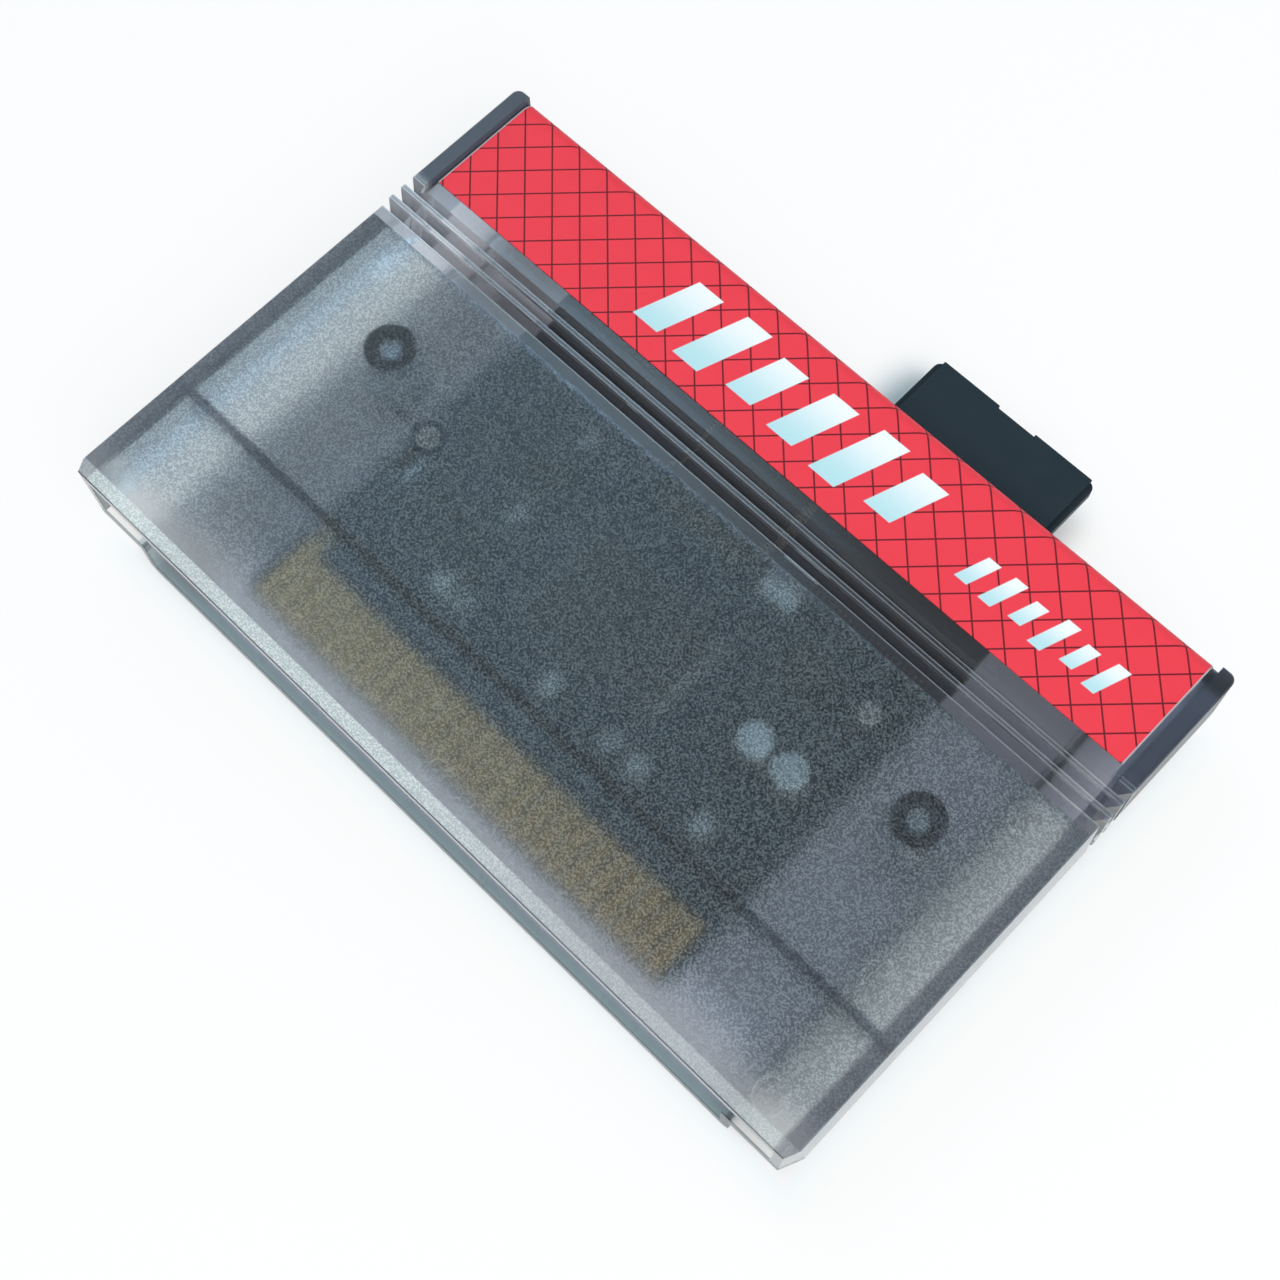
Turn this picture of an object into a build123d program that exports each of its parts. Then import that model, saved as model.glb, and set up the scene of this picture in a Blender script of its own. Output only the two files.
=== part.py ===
from build123d import *
import os

# Game cartridge with a see-through two-part shell, a circuit board and a memory card.
# It lies on its back: X runs across the width, Y runs from the connector end up to the
# label end, and Z rises from the resting face to the front face. Millimetres.
# The origin is the centre of the flat rear pad that the cartridge rests on.

# Shell
shell_width = 108.8
shell_height = 70.1
shell_depth = 16.5
shoulder_depth = 11.0
side_wall = 1.95
face_wall = 2.0
side_spread = 0.45
edge_break = 0.2
corner_cut_x = 0.77
bevel_length = 1.7
bevel_drop = 0.3

# Grip teeth and label recess at the upper end of the front
grip_from_end = 22.75
tooth_pitch = 1.93
tooth_tip = 0.6
tooth_depth = 1.5
tooth_count = 3
grip_flare = 0.25
grip_back_wall = 1.1
plate_step_lead = 1.0
recess_depth = 0.9
rail_width = 1.95
rail_corner_radius = 1.0
label_edge_radius = 1.5

# Rear pad and shoulders
pad_width = 93.6
step_wall = 1.2
pad_edge_cut = 1.0
pad_end_cut = 2.0
shoulder_edge_radius = 1.2
shoulder_end_radius = 4.0

# Seam lip, screw posts and ribs
fit_gap = 0.15
seam_gap = 0.05
lip_thickness = 1.0
lip_height = 1.2
lip_end_margin = 4.0
boss_spread = 80.8
boss_height_up = 35.3
boss_diameter = 6.2
boss_hole = 2.6
post_diameter = 7.4
post_rise = 1.5
screw_seat_wall = 3.0
screw_length = 7.0
screw_diameter = 2.4
screw_head_diameter = 5.0
screw_head_height = 1.8
screw_recess_side = 0.4
screw_tip_room = 0.5
cross_slot_width = 0.8
cross_slot_length = 3.0
cross_slot_depth = 0.9
rib_height_up = 15.6
rib_thickness = 1.2
peg_diameter = 3.2
peg_pin_diameter = 2.2
peg_post_diameter = 5.0
peg_edge_inset = 3.9
peg_left_up = 30.35
peg_right_rise = 5.3
peg_pin_past = 1.5
gusset_length = 3.4
gusset_thickness = 0.8
gusset_drop = 1.6
mark_diameter = 3.8
mark_depth = 0.12
mark_side_inset = 5.7
mark_heights_up = (3.6, 19.8, 42.6)

# Label
label_gap_left = 0.35
label_gap_right = 0.85
label_start_gap = 1.9
label_thickness = 0.15

# Circuit board and its edge contacts
board_front_gap = 5.0
board_thickness = 1.6
board_inset = 4.4
board_end_gap = 2.5
board_margin = 1.3
board_corner = 1.0
board_edge_bevel = 0.4
contact_count = 25
contact_pitch = 2.54
contact_width = 2.0
contact_length = 7.4
contact_thickness = 0.06
contact_edge_inset = 0.6
ground_contact_extra = 3.8

# Packages on the front of the board
package_lift = 0.1
part_gap = 0.6
row_gap = 1.2
lead_thickness = 0.12
lead_knee_share = 0.45
flash_length = 18.4
flash_width = 12.0
flash_thickness = 1.0
flash_lead_count = 24
flash_lead_pitch = 0.5
flash_lead_width = 0.22
flash_reach = 0.8
flash_x = 1.5
logic_side = 14.0
logic_thickness = 1.4
logic_lead_count = 25
logic_lead_pitch = 0.5
logic_lead_width = 0.22
logic_reach = 1.0
logic_x = -0.5
logic_down = 12.9
ram_length = 18.4
ram_width = 10.2
ram_thickness = 1.0
ram_lead_count = 22
ram_lead_pitch = 0.8
ram_lead_width = 0.35
ram_reach = 0.8
ram_edge_inset = 1.3
ram_down = 12.0
buffer_length = 12.5
buffer_width = 6.1
buffer_thickness = 1.0
buffer_lead_count = 24
buffer_lead_pitch = 0.5
buffer_lead_width = 0.22
buffer_reach = 1.0
config_length = 4.9
config_width = 3.9
config_thickness = 1.5
config_lead_count = 4
config_lead_pitch = 1.27
config_lead_width = 0.42
config_reach = 1.0
config_x = -20.0
config_down = 12.4
regulator_length = 6.5
regulator_width = 3.5
regulator_thickness = 1.6
regulator_lead_count = 3
regulator_lead_pitch = 2.3
regulator_lead_width = 0.7
regulator_tab_width = 3.0
regulator_reach = 1.7
regulator_x = 20.6
regulator_rise = 5.5
oscillator_length = 5.0
oscillator_width = 3.2
oscillator_base = 0.5
oscillator_lid = 0.8
oscillator_lid_inset = 0.3
oscillator_x = 11.4
can_diameter = 4.3
can_headroom = 0.8
can_base_side = 4.6
can_base_height = 0.6
can_groove_depth = 0.2
can_groove_height = 0.5
can_groove_up = 0.5
can_top_radius = 0.3
can_x = 22.0
can_gap = 0.35
can_up = 25.7
block_length = 3.2
block_width = 2.5
block_height = 1.8
block_end = 0.5
block_up = 15.4
block_xs = (-16.0, 1.0, 14.5, 23.9)
tan_xs = (-13.2, 10.3)
tan_left_xs = (-16.4, -17.1)
tan_length = 3.0
tan_width = 1.5
tan_height = 1.0
tan_end = 0.45
resistor_length = 2.0
resistor_width = 1.25
resistor_height = 0.5
resistor_end = 0.35
resistor_row = 6
resistor_pitch = 2.2
resistor_x = -8.0

# Memory card and its socket on the rear of the board
card_width = 24.0
card_length = 32.0
card_thickness = 2.1
card_rim_thickness = 1.4
card_rim_width = 0.75
card_corner_cut = 4.0
card_corner_radius = 1.0
card_x = 15.9
card_reach = 12.0
card_board_gap = 0.7
slot_gap = 0.4
thumb_width = 5.5
thumb_depth = 0.35
card_pad_count = 9
card_pad_pitch = 2.5
card_pad_width = 1.6
card_pad_length = 4.2
card_pad_thickness = 0.1
card_pad_sink = 0.35
card_pad_end_inset = 1.2
lock_from_end = 9.0
lock_slot_length = 6.6
lock_length = 3.6
lock_depth = 1.1
lock_gap = 0.12
socket_floor = 0.5
socket_side = 1.2
socket_gap = 0.25
socket_back = 1.8
socket_mouth_inset = 0.4
socket_cover_thickness = 0.25
socket_spring_width = 0.9
socket_spring_thickness = 0.15
socket_spring_length = 9.0
socket_spring_play = 0.15

# Worked-out places
half_width = shell_width / 2
half_height = shell_height / 2
bottom = -half_height
top = half_height
seam_half = half_width + side_spread
grip_half = half_width + grip_flare
inner_half = half_width - side_wall
grip_inner_half = grip_half - tooth_depth - grip_back_wall
rail_inner_half = grip_half - rail_width
front_z = shell_depth
front_inner_z = front_z - face_wall
floor_z = front_z - recess_depth
floor_inner_z = floor_z - face_wall
shoulder_z = front_z - shoulder_depth
seam_z = shoulder_z + face_wall
front_low_z = seam_z + seam_gap
board_front_z = front_inner_z - board_front_gap
board_rear_z = board_front_z - board_thickness
tooth_run = tooth_pitch - tooth_tip
teeth_y = top - grip_from_end
floor_y = teeth_y + (tooth_count - 1) * tooth_pitch + tooth_run
plate_step_y = teeth_y - plate_step_lead
end_wall_y = top - side_wall
pad_half = pad_width / 2
board_half = (contact_pitch * (contact_count - 1) + contact_width) / 2 + board_margin
board_bottom = bottom + board_inset
board_top = end_wall_y - board_end_gap
board_mid = (board_bottom + board_top) / 2
contact_high_z = board_front_z + contact_thickness
contact_low_z = board_rear_z - contact_thickness
boss_y = bottom + boss_height_up
post_top_z = seam_z + post_rise
screw_seat_z = post_top_z - screw_seat_wall
rib_y = bottom + rib_height_up
peg_places = (
    (-(board_half - peg_edge_inset), bottom + peg_left_up),
    (board_half - peg_edge_inset, board_mid + peg_right_rise),
)
boss_places = ((-boss_spread / 2, boss_y), (boss_spread / 2, boss_y))
card_top_z = board_rear_z - card_board_gap
card_low_z = card_top_z - card_thickness
card_end_y = top + card_reach
card_start_y = card_end_y - card_length
card_left = card_x - card_width / 2
card_right = card_x + card_width / 2
past = 5.0
same_place = 0.01


def block(x0, x1, y0, y1, z0, z1):
    """Box between two corners."""
    box = Box(x1 - x0, y1 - y0, z1 - z0)
    return Pos((x0 + x1) / 2, (y0 + y1) / 2, (z0 + z1) / 2) * box


def rod(x, y, diameter, z0, z1):
    """Upright cylinder between two heights."""
    return Pos(x, y, (z0 + z1) / 2) * Cylinder(diameter / 2, z1 - z0)


def along_x(points, x0, x1):
    """Outline given as (y, z) points, carried from x0 to x1."""
    face = Plane.YZ.offset(x0) * Polygon(*points, align=None)
    return extrude(face, amount=x1 - x0, dir=(1, 0, 0))


def along_y(points, y0, y1):
    """Outline given as (x, z) points, carried from y0 to y1."""
    face = Plane.XZ.offset(-y0) * Polygon(*points, align=None)
    return extrude(face, amount=y1 - y0, dir=(0, 1, 0))


def along_z(points, z0, z1):
    """Outline given as (x, y) points, carried from z0 to z1."""
    face = Plane.XY.offset(z0) * Polygon(*points, align=None)
    return extrude(face, amount=z1 - z0, dir=(0, 0, 1))


def upright_edges(solid, y):
    """Edges of the end face at y that rise with the side walls."""
    edges = solid.edges().filter_by(lambda e: abs(e.center().Y - y) < same_place)
    return edges.filter_by(lambda e: abs(e.tangent_at(0.5).Z) > abs(e.tangent_at(0.5).X))


def long_edges(solid, z):
    """Edges that run along Y at height z."""
    edges = solid.edges().filter_by(Axis.Y)
    return edges.filter_by(lambda e: abs(e.center().Z - z) < same_place)


def tapered_slab(top_half, low_half, y0, y1, z0, z1):
    """Slab whose sides spread from top_half at z1 to low_half at z0."""
    points = ((-top_half, z1), (-low_half, z0), (low_half, z0), (top_half, z1))
    return along_y(points, y0, y1)


# Grip teeth on the sides of both shell halves
def side_teeth(z0, z1):
    """Saw-tooth notches down both sides between two heights."""
    out_x = seam_half + past
    notches = []
    for index in range(tooth_count):
        y0 = teeth_y + index * tooth_pitch
        y1 = y0 + tooth_run
        for side in (-1, 1):
            points = (
                (side * out_x, y0),
                (side * (grip_half - tooth_depth), y0),
                (side * grip_half, y1),
                (side * out_x, y1),
            )
            notches.append(along_z(points, z0, z1))
    return notches


def corner_cuts(z0, z1):
    """Lead-in cuts on the two plan corners at the connector end."""
    reach_x = side_spread + past
    reach_y = bevel_length * (1 + reach_x / corner_cut_x)
    cuts = []
    for side in (-1, 1):
        points = (
            (side * (half_width - corner_cut_x), bottom),
            (side * (half_width - corner_cut_x), bottom - past),
            (side * (half_width + reach_x), bottom - past),
            (side * (half_width + reach_x), bottom + reach_y),
        )
        cuts.append(along_z(points, z0, z1))
    return cuts


def card_slot():
    """Opening for the memory card in the end wall."""
    return block(
        card_left - slot_gap,
        card_right + slot_gap,
        end_wall_y - fit_gap,
        top + past,
        card_low_z - slot_gap,
        card_top_z + slot_gap,
    )


def shoulder_end_cuts():
    """Rounding under the label end, over both shoulders."""
    radius = shoulder_end_radius
    centre_y = top - radius
    centre_z = shoulder_z + radius
    cuts = []
    for side in (-1, 1):
        x0, x1 = sorted((side * pad_half, side * (seam_half + past)))
        corner = block(x0, x1, centre_y, top + past, shoulder_z - past, centre_z)
        roller = Cylinder(radius, x1 - x0, rotation=(0, 90, 0))
        cuts.append(corner - Pos((x0 + x1) / 2, centre_y, centre_z) * roller)
    return cuts


def front_outer():
    """Outside of the front half before it is hollowed."""
    lower = tapered_slab(half_width, seam_half, bottom, teeth_y, front_low_z, front_z)
    lower = chamfer(long_edges(lower, front_z), edge_break)
    upper = tapered_slab(grip_half, seam_half, teeth_y, top, front_low_z, front_z)
    upper = fillet(upright_edges(upper, top), rail_corner_radius)
    upper = chamfer(long_edges(upper, front_z), edge_break)
    return lower + upper


def front_cuts():
    """Bevel, teeth and label recess in the face of the front half."""
    wide = seam_half + past
    slope = bevel_drop / bevel_length
    bevel = (
        (bottom - past, front_z - bevel_drop - slope * past),
        (bottom + bevel_length, front_z),
        (bottom + bevel_length, front_z + past),
        (bottom - past, front_z + past),
    )
    cuts = [along_x(bevel, -wide, wide)]
    for index in range(tooth_count):
        y0 = teeth_y + index * tooth_pitch
        notch = (
            (y0, front_z + past),
            (y0, front_z - tooth_depth),
            (y0 + tooth_run, front_z),
            (y0 + tooth_run, front_z + past),
        )
        cuts.append(along_x(notch, -wide, wide))
    last_y = floor_y - tooth_run
    recess = (
        (last_y, front_z + past),
        (last_y, front_z - tooth_depth),
        (floor_y, floor_z),
        (top + past, floor_z),
        (top + past, front_z + past),
    )
    cuts.append(along_x(recess, -rail_inner_half, rail_inner_half))
    return cuts


def front_hollow():
    """Inside of the front half: open at the connector end, stepped behind the label."""
    grip_end = floor_y + grip_back_wall
    main = block(-inner_half, inner_half, bottom - past, plate_step_y, seam_z - past, front_inner_z)
    low = seam_z - past
    behind_grip = block(-grip_inner_half, grip_inner_half, plate_step_y, grip_end, low, floor_inner_z)
    behind_label = block(-inner_half, inner_half, grip_end, end_wall_y, low, floor_inner_z)
    return main + behind_grip + behind_label


def peg(x, y, side):
    """Locating peg with two thin gussets, stepped where it meets the board."""
    root_z = front_inner_z + face_wall / 2
    gusset_low = board_front_z + gusset_drop
    tip_z = board_rear_z - peg_pin_past
    post = rod(x, y, peg_diameter, board_front_z, root_z)
    pin = rod(x, y, peg_pin_diameter, tip_z, board_front_z)
    reach = peg_diameter / 2 + gusset_length
    half = gusset_thickness / 2
    across = block(min(x, x + side * reach), max(x, x + side * reach), y - half, y + half, gusset_low, root_z)
    down = block(x - half, x + half, y - reach, y, gusset_low, root_z)
    return post + pin + across + down


def make_front_shell():
    """Front half of the shell."""
    shell = front_outer()
    for cut in front_cuts() + side_teeth(seam_z - past, front_z + past):
        shell -= cut
    for cut in corner_cuts(seam_z - past, front_z + past) + shoulder_end_cuts():
        shell -= cut
    end_edges = shell.edges().filter_by(Axis.X)
    end_edges = end_edges.filter_by(lambda e: abs(e.center().Y - top) < same_place)
    end_edges = end_edges.filter_by(lambda e: abs(e.center().Z - floor_z) < same_place)
    shell = fillet(end_edges, label_edge_radius)
    shell -= front_hollow()
    rib_half = rib_thickness / 2
    root_z = front_inner_z + face_wall / 2
    rib_low = board_front_z + fit_gap
    shell += block(-inner_half, inner_half, rib_y - rib_half, rib_y + rib_half, rib_low, root_z)
    for x, y in boss_places:
        shell += rod(x, y, boss_diameter, post_top_z + seam_gap, root_z)
    for x, y in boss_places:
        hole_top = screw_seat_z + screw_length + screw_tip_room
        shell -= rod(x, y, boss_hole, post_top_z - past, hole_top)
    for (x, y), side in zip(peg_places, (-1, 1)):
        shell += peg(x, y, side)
    for side in (-1, 1):
        for up in mark_heights_up:
            x = side * (half_width - mark_side_inset)
            mark_low = front_inner_z - mark_depth
            shell -= rod(x, bottom + up, mark_diameter, mark_low, front_inner_z + mark_depth)
    shell -= card_slot()
    return shell


def make_rear_shell():
    """Rear half of the shell: shoulders at the sides and a deeper pad in the middle."""
    flange = block(-seam_half, seam_half, bottom, top, shoulder_z, seam_z)
    flange = fillet(upright_edges(flange, top), rail_corner_radius)
    flange = fillet(long_edges(flange, shoulder_z), shoulder_edge_radius)
    pad = block(-pad_half, pad_half, bottom, top, 0, seam_z)
    end_edge = pad.edges().filter_by(Axis.X)
    end_edge = end_edge.filter_by(lambda e: e.center().Y > 0 and e.center().Z < seam_z / 2)
    pad = chamfer(end_edge, pad_end_cut)
    pad = chamfer(long_edges(pad, 0), pad_edge_cut)
    shell = flange + pad
    for cut in side_teeth(-past, seam_z + past) + corner_cuts(-past, seam_z + past):
        shell -= cut
    for cut in shoulder_end_cuts():
        shell -= cut
    room_half = pad_half - step_wall
    shell -= block(-room_half, room_half, bottom - past, end_wall_y, face_wall, seam_z + past)
    lip_out = inner_half - fit_gap
    for side in (-1, 1):
        x0, x1 = sorted((side * lip_out, side * (lip_out - lip_thickness)))
        y0 = bottom + lip_end_margin
        y1 = plate_step_y - lip_end_margin
        shell += block(x0, x1, y0, y1, seam_z - face_wall / 2, seam_z + lip_height)
    root_z = face_wall / 2
    rib_half = rib_thickness / 2
    shell += block(-board_half, board_half, rib_y - rib_half, rib_y + rib_half, root_z, board_rear_z)
    for x, y in boss_places:
        shell += rod(x, y, post_diameter, root_z, post_top_z)
    for x, y in peg_places:
        shell += rod(x, y, peg_post_diameter, root_z, board_rear_z)
    for x, y in boss_places:
        shell -= rod(x, y, boss_hole + 2 * fit_gap, root_z, post_top_z + past)
        shell -= rod(x, y, screw_head_diameter + screw_recess_side, -past, screw_seat_z)
    for x, y in peg_places:
        hole_low = board_rear_z - peg_pin_past - screw_tip_room
        shell -= rod(x, y, peg_pin_diameter + 2 * fit_gap, hole_low, board_rear_z + past)
    shell -= card_slot()
    return shell


def make_label():
    """Paper label on the recess floor, bent over the rounded end."""
    left = label_gap_left - rail_inner_half
    right = rail_inner_half - label_gap_right
    inner = label_edge_radius
    outer = label_edge_radius + label_thickness
    centre = (top - inner, floor_z - inner)
    with BuildSketch(Plane.YZ.offset(left)) as section:
        with BuildLine():
            start = (floor_y + label_start_gap, floor_z)
            low = Line(start, (centre[0], floor_z))
            bend = CenterArc(centre, inner, 90, -90)
            lip = Line(bend @ 1, (centre[0] + outer, centre[1]))
            back = CenterArc(centre, outer, 0, 90)
            high = Line(back @ 1, (floor_y + label_start_gap, floor_z + label_thickness))
            Line(high @ 1, low @ 0)
        make_face()
    return extrude(section.sketch, amount=right - left, dir=(1, 0, 0))


# Circuit board
def make_board():
    """Board with a bevelled contact edge and two holes for the pegs."""
    cut = board_corner
    points = (
        (-board_half, board_bottom + cut),
        (-board_half + cut, board_bottom),
        (board_half - cut, board_bottom),
        (board_half, board_bottom + cut),
        (board_half, board_top),
        (-board_half, board_top),
    )
    board = along_z(points, board_rear_z, board_front_z)
    edge = board.edges().filter_by(Axis.X)
    edge = edge.filter_by(lambda e: abs(e.center().Y - board_bottom) < same_place)
    board = chamfer(edge, board_edge_bevel)
    for x, y in peg_places:
        board -= rod(x, y, peg_pin_diameter + 2 * fit_gap, board_rear_z - past, board_front_z + past)
    return board


def edge_contacts(z0, z1, ground_extra):
    """Row of gold contacts along the board's edge; the first one is the long ground contact."""
    contacts = []
    y0 = board_bottom + contact_edge_inset
    first_x = -contact_pitch * (contact_count - 1) / 2
    half = contact_width / 2
    for index in range(contact_count):
        x = first_x + index * contact_pitch
        extra = ground_extra if index == 0 else 0
        contacts.append(block(x - half, x + half, y0, y0 + contact_length + extra, z0, z1))
    return contacts


# Packages
def body_block(x, y, length, width, thickness):
    """Moulded package body lifted just off the board."""
    low = board_front_z + package_lift
    return block(x - length / 2, x + length / 2, y - width / 2, y + width / 2, low, low + thickness)


def lead(side_y, thickness, reach, width, offset):
    """Bent lead that leaves a body's side at side_y along +Y and stands on the board."""
    middle = board_front_z + package_lift + thickness / 2
    low = board_front_z
    metal = lead_thickness
    knee = side_y + reach * lead_knee_share
    points = (
        (side_y, middle),
        (side_y, middle - metal),
        (knee - metal, middle - metal),
        (knee - metal, low),
        (side_y + reach, low),
        (side_y + reach, low + metal),
        (knee, low + metal),
        (knee, middle),
    )
    return along_x(points, offset - width / 2, offset + width / 2)


def lead_row(x, y, turn, side_y, thickness, reach, width, count, pitch):
    """Row of leads on one side of a package, turned about its centre."""
    row = []
    for index in range(count):
        offset = (index - (count - 1) / 2) * pitch
        row.append(Pos(x, y, 0) * Rot(0, 0, turn) * lead(side_y, thickness, reach, width, offset))
    return row


def two_rows(x, y, turns, side_y, thickness, reach, width, count, pitch):
    """Leads on the sides of a package named by their turns."""
    rows = []
    for turn in turns:
        rows += lead_row(x, y, turn, side_y, thickness, reach, width, count, pitch)
    return rows


def chip_block(x, y, length, width, height, end):
    """Ceramic body and its two metal ends along X, standing on the board."""
    low = board_front_z
    core = block(x - length / 2 + end, x + length / 2 - end, y - width / 2, y + width / 2, low, low + height)
    left = block(x - length / 2, x - length / 2 + end, y - width / 2, y + width / 2, low, low + height)
    right = block(x + length / 2 - end, x + length / 2, y - width / 2, y + width / 2, low, low + height)
    return core, [left, right]


def upright_chip(x, y, length, width, height, end):
    """The same chip with its ends along Y."""
    low = board_front_z
    half = length / 2
    core = block(x - width / 2, x + width / 2, y - half + end, y + half - end, low, low + height)
    near = block(x - width / 2, x + width / 2, y - half, y - half + end, low, low + height)
    far = block(x - width / 2, x + width / 2, y + half - end, y + half, low, low + height)
    return core, [near, far]


def can_capacitor(x, y):
    """Aluminium can with a rolled groove above its moulded base."""
    low = board_front_z + can_base_height
    high = front_inner_z - can_headroom
    can = rod(x, y, can_diameter, low, high)
    can = fillet(can.edges().filter_by(lambda e: abs(e.center().Z - high) < same_place), can_top_radius)
    groove_low = low + can_groove_up
    ring = rod(x, y, can_diameter + past, groove_low, groove_low + can_groove_height)
    ring -= rod(x, y, can_diameter - 2 * can_groove_depth, groove_low, groove_low + can_groove_height)
    return can - ring


# Card socket
def socket_bounds():
    """Inside of the socket around the card, and its two ends."""
    left = card_left - socket_gap
    right = card_right + socket_gap
    back = card_start_y - socket_gap
    mouth = board_top - socket_mouth_inset
    return left, right, back, mouth


def spring_xs():
    """Places of the card's contacts across its width."""
    middle = (card_pad_count - 1) / 2
    return [card_x + (index - middle) * card_pad_pitch for index in range(card_pad_count)]


def make_socket_frame():
    """Moulded frame: a floor against the board, two sides and a back stop."""
    left, right, back, mouth = socket_bounds()
    low = card_low_z - socket_gap
    floor_low = board_rear_z - socket_floor
    frame = block(left - socket_side, right + socket_side, back - socket_back, mouth, low, board_rear_z)
    frame -= block(left, right, back, mouth + past, low - past, floor_low)
    half = socket_spring_width / 2 + socket_spring_play
    for x in spring_xs():
        y1 = back + socket_spring_length + 2 * socket_spring_play
        frame -= block(x - half, x + half, back, y1, floor_low - past, board_rear_z)
    return frame


def make_socket_cover():
    """Pressed steel cover over the card, with skirts down both sides of the frame."""
    left, right, back, mouth = socket_bounds()
    high = card_low_z - socket_gap
    low = high - socket_cover_thickness
    x0 = left - socket_side - socket_cover_thickness
    x1 = right + socket_side + socket_cover_thickness
    y0 = back - socket_back
    cover = block(x0, x1, y0, mouth, low, high)
    cover += block(x0, x0 + socket_cover_thickness, y0, mouth, low, board_rear_z)
    cover += block(x1 - socket_cover_thickness, x1, y0, mouth, low, board_rear_z)
    return cover


def socket_springs():
    """Contact springs in the slots of the frame's floor."""
    back = socket_bounds()[2]
    half = socket_spring_width / 2
    high = board_rear_z
    low = high - socket_spring_thickness
    y0 = back + socket_spring_play
    tip = card_top_z + socket_spring_play
    springs = []
    for x in spring_xs():
        y1 = y0 + socket_spring_length
        touch = card_start_y + card_pad_end_inset + card_pad_length / 2
        points = (
            (y0, high),
            (y0, low),
            (touch - socket_spring_width, low),
            (touch, tip),
            (touch + socket_spring_width, low),
            (y1, low),
            (y1, high),
        )
        springs.append(along_x(points, x - half, x + half))
    return springs


# Memory card
def lock_room():
    """Notch in the card's left edge that the lock tab slides in."""
    y0 = card_start_y + lock_from_end
    return card_left, card_left + lock_depth, y0, y0 + lock_slot_length


def make_card_case():
    """Card body: thinner rims at the sides, a cut corner, a thumb notch and contact windows."""
    low = card_low_z
    rim_z = low + card_rim_thickness
    points = (
        (card_left, card_start_y),
        (card_right - card_corner_cut, card_start_y),
        (card_right, card_start_y + card_corner_cut),
        (card_right, card_end_y),
        (card_left, card_end_y),
    )
    case = along_z(points, low, card_top_z)
    corners = case.edges().filter_by(Axis.Z)
    corners = corners.filter_by(lambda e: e.center().Y > card_end_y - same_place)
    case = fillet(corners, card_corner_radius)
    for x0, x1 in ((card_left, card_left + card_rim_width), (card_right - card_rim_width, card_right)):
        case -= block(x0, x1, card_start_y - past, card_end_y + past, rim_z, card_top_z + past)
    half_thumb = thumb_width / 2
    thumb_y = card_end_y - thumb_depth
    thumb_end = card_end_y + past
    high = card_top_z + past
    case -= block(card_x - half_thumb, card_x + half_thumb, thumb_y, thumb_end, low - past, high)
    half_pad = card_pad_width / 2
    y0 = card_start_y + card_pad_end_inset
    for x in spring_xs():
        x1 = min(x + half_pad, card_right - card_rim_width)
        x0 = max(x - half_pad, card_left + card_rim_width)
        case -= block(x0, x1, y0, y0 + card_pad_length, card_top_z - card_pad_sink, card_top_z + past)
    x0, x1, y0, y1 = lock_room()
    case -= block(x0 - past, x1, y0, y1, low - past, card_top_z + past)
    return case


def card_contacts():
    """Gold contacts on the floors of the card's windows."""
    pads = []
    low = card_top_z - card_pad_sink
    half_pad = card_pad_width / 2
    y0 = card_start_y + card_pad_end_inset
    for x in spring_xs():
        x1 = min(x + half_pad, card_right - card_rim_width)
        x0 = max(x - half_pad, card_left + card_rim_width)
        pads.append(block(x0, x1, y0, y0 + card_pad_length, low, low + card_pad_thickness))
    return pads


def make_lock_tab():
    """Small tab in the card's edge that slides between its two ends."""
    x0, x1, y0, _ = lock_room()
    low = card_low_z + lock_gap
    high = card_low_z + card_rim_thickness - lock_gap
    y0 += lock_gap
    return block(x0 + lock_gap, x1 - lock_gap, y0, y0 + lock_length, low, high)


# Fasteners
def shell_screw(x, y):
    """Self-tapping screw with a cross slot, driven in from the rear."""
    head = rod(x, y, screw_head_diameter, screw_seat_z - screw_head_height, screw_seat_z)
    shank = rod(x, y, screw_diameter, screw_seat_z, screw_seat_z + screw_length)
    slot_low = screw_seat_z - screw_head_height
    slot_high = slot_low + cross_slot_depth
    half_l = cross_slot_length / 2
    half_w = cross_slot_width / 2
    screw = head + shank
    screw -= block(x - half_l, x + half_l, y - half_w, y + half_w, slot_low - past, slot_high)
    screw -= block(x - half_w, x + half_w, y - half_l, y + half_l, slot_low - past, slot_high)
    return screw


# Places of the packages on the board
block_y = board_bottom + block_up
resistor_y = block_y + block_width / 2 + row_gap + resistor_length / 2
flash_y = resistor_y + resistor_length / 2 + part_gap + flash_width / 2
logic_y = board_top - logic_down
ram_x = board_half - ram_edge_inset - ram_length / 2
ram_y = board_top - ram_down
buffer_x = peg_places[0][0] + peg_diameter / 2 + part_gap + buffer_length / 2
buffer_half = buffer_width / 2 + buffer_reach
buffer_low_y = block_y + block_width / 2 + part_gap + buffer_half
tan_low_y = buffer_low_y + buffer_half + part_gap + tan_length / 2
buffer_high_y = tan_low_y + tan_length / 2 + part_gap + buffer_half
tan_high_y = buffer_high_y + buffer_half + part_gap + tan_length / 2
buffer_places = ((buffer_x, buffer_low_y), (buffer_x, buffer_high_y))
tan_places = [(x, block_y) for x in tan_xs]
tan_places += zip(tan_left_xs, (tan_low_y, tan_high_y))
config_y = board_top - config_down
regulator_y = board_mid + regulator_rise
oscillator_y = ram_y - ram_width / 2 - ram_reach - part_gap - oscillator_width / 2
can_step = can_base_side + can_gap
can_places = [(can_x + index * can_step, board_bottom + can_up) for index in range(2)]

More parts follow.
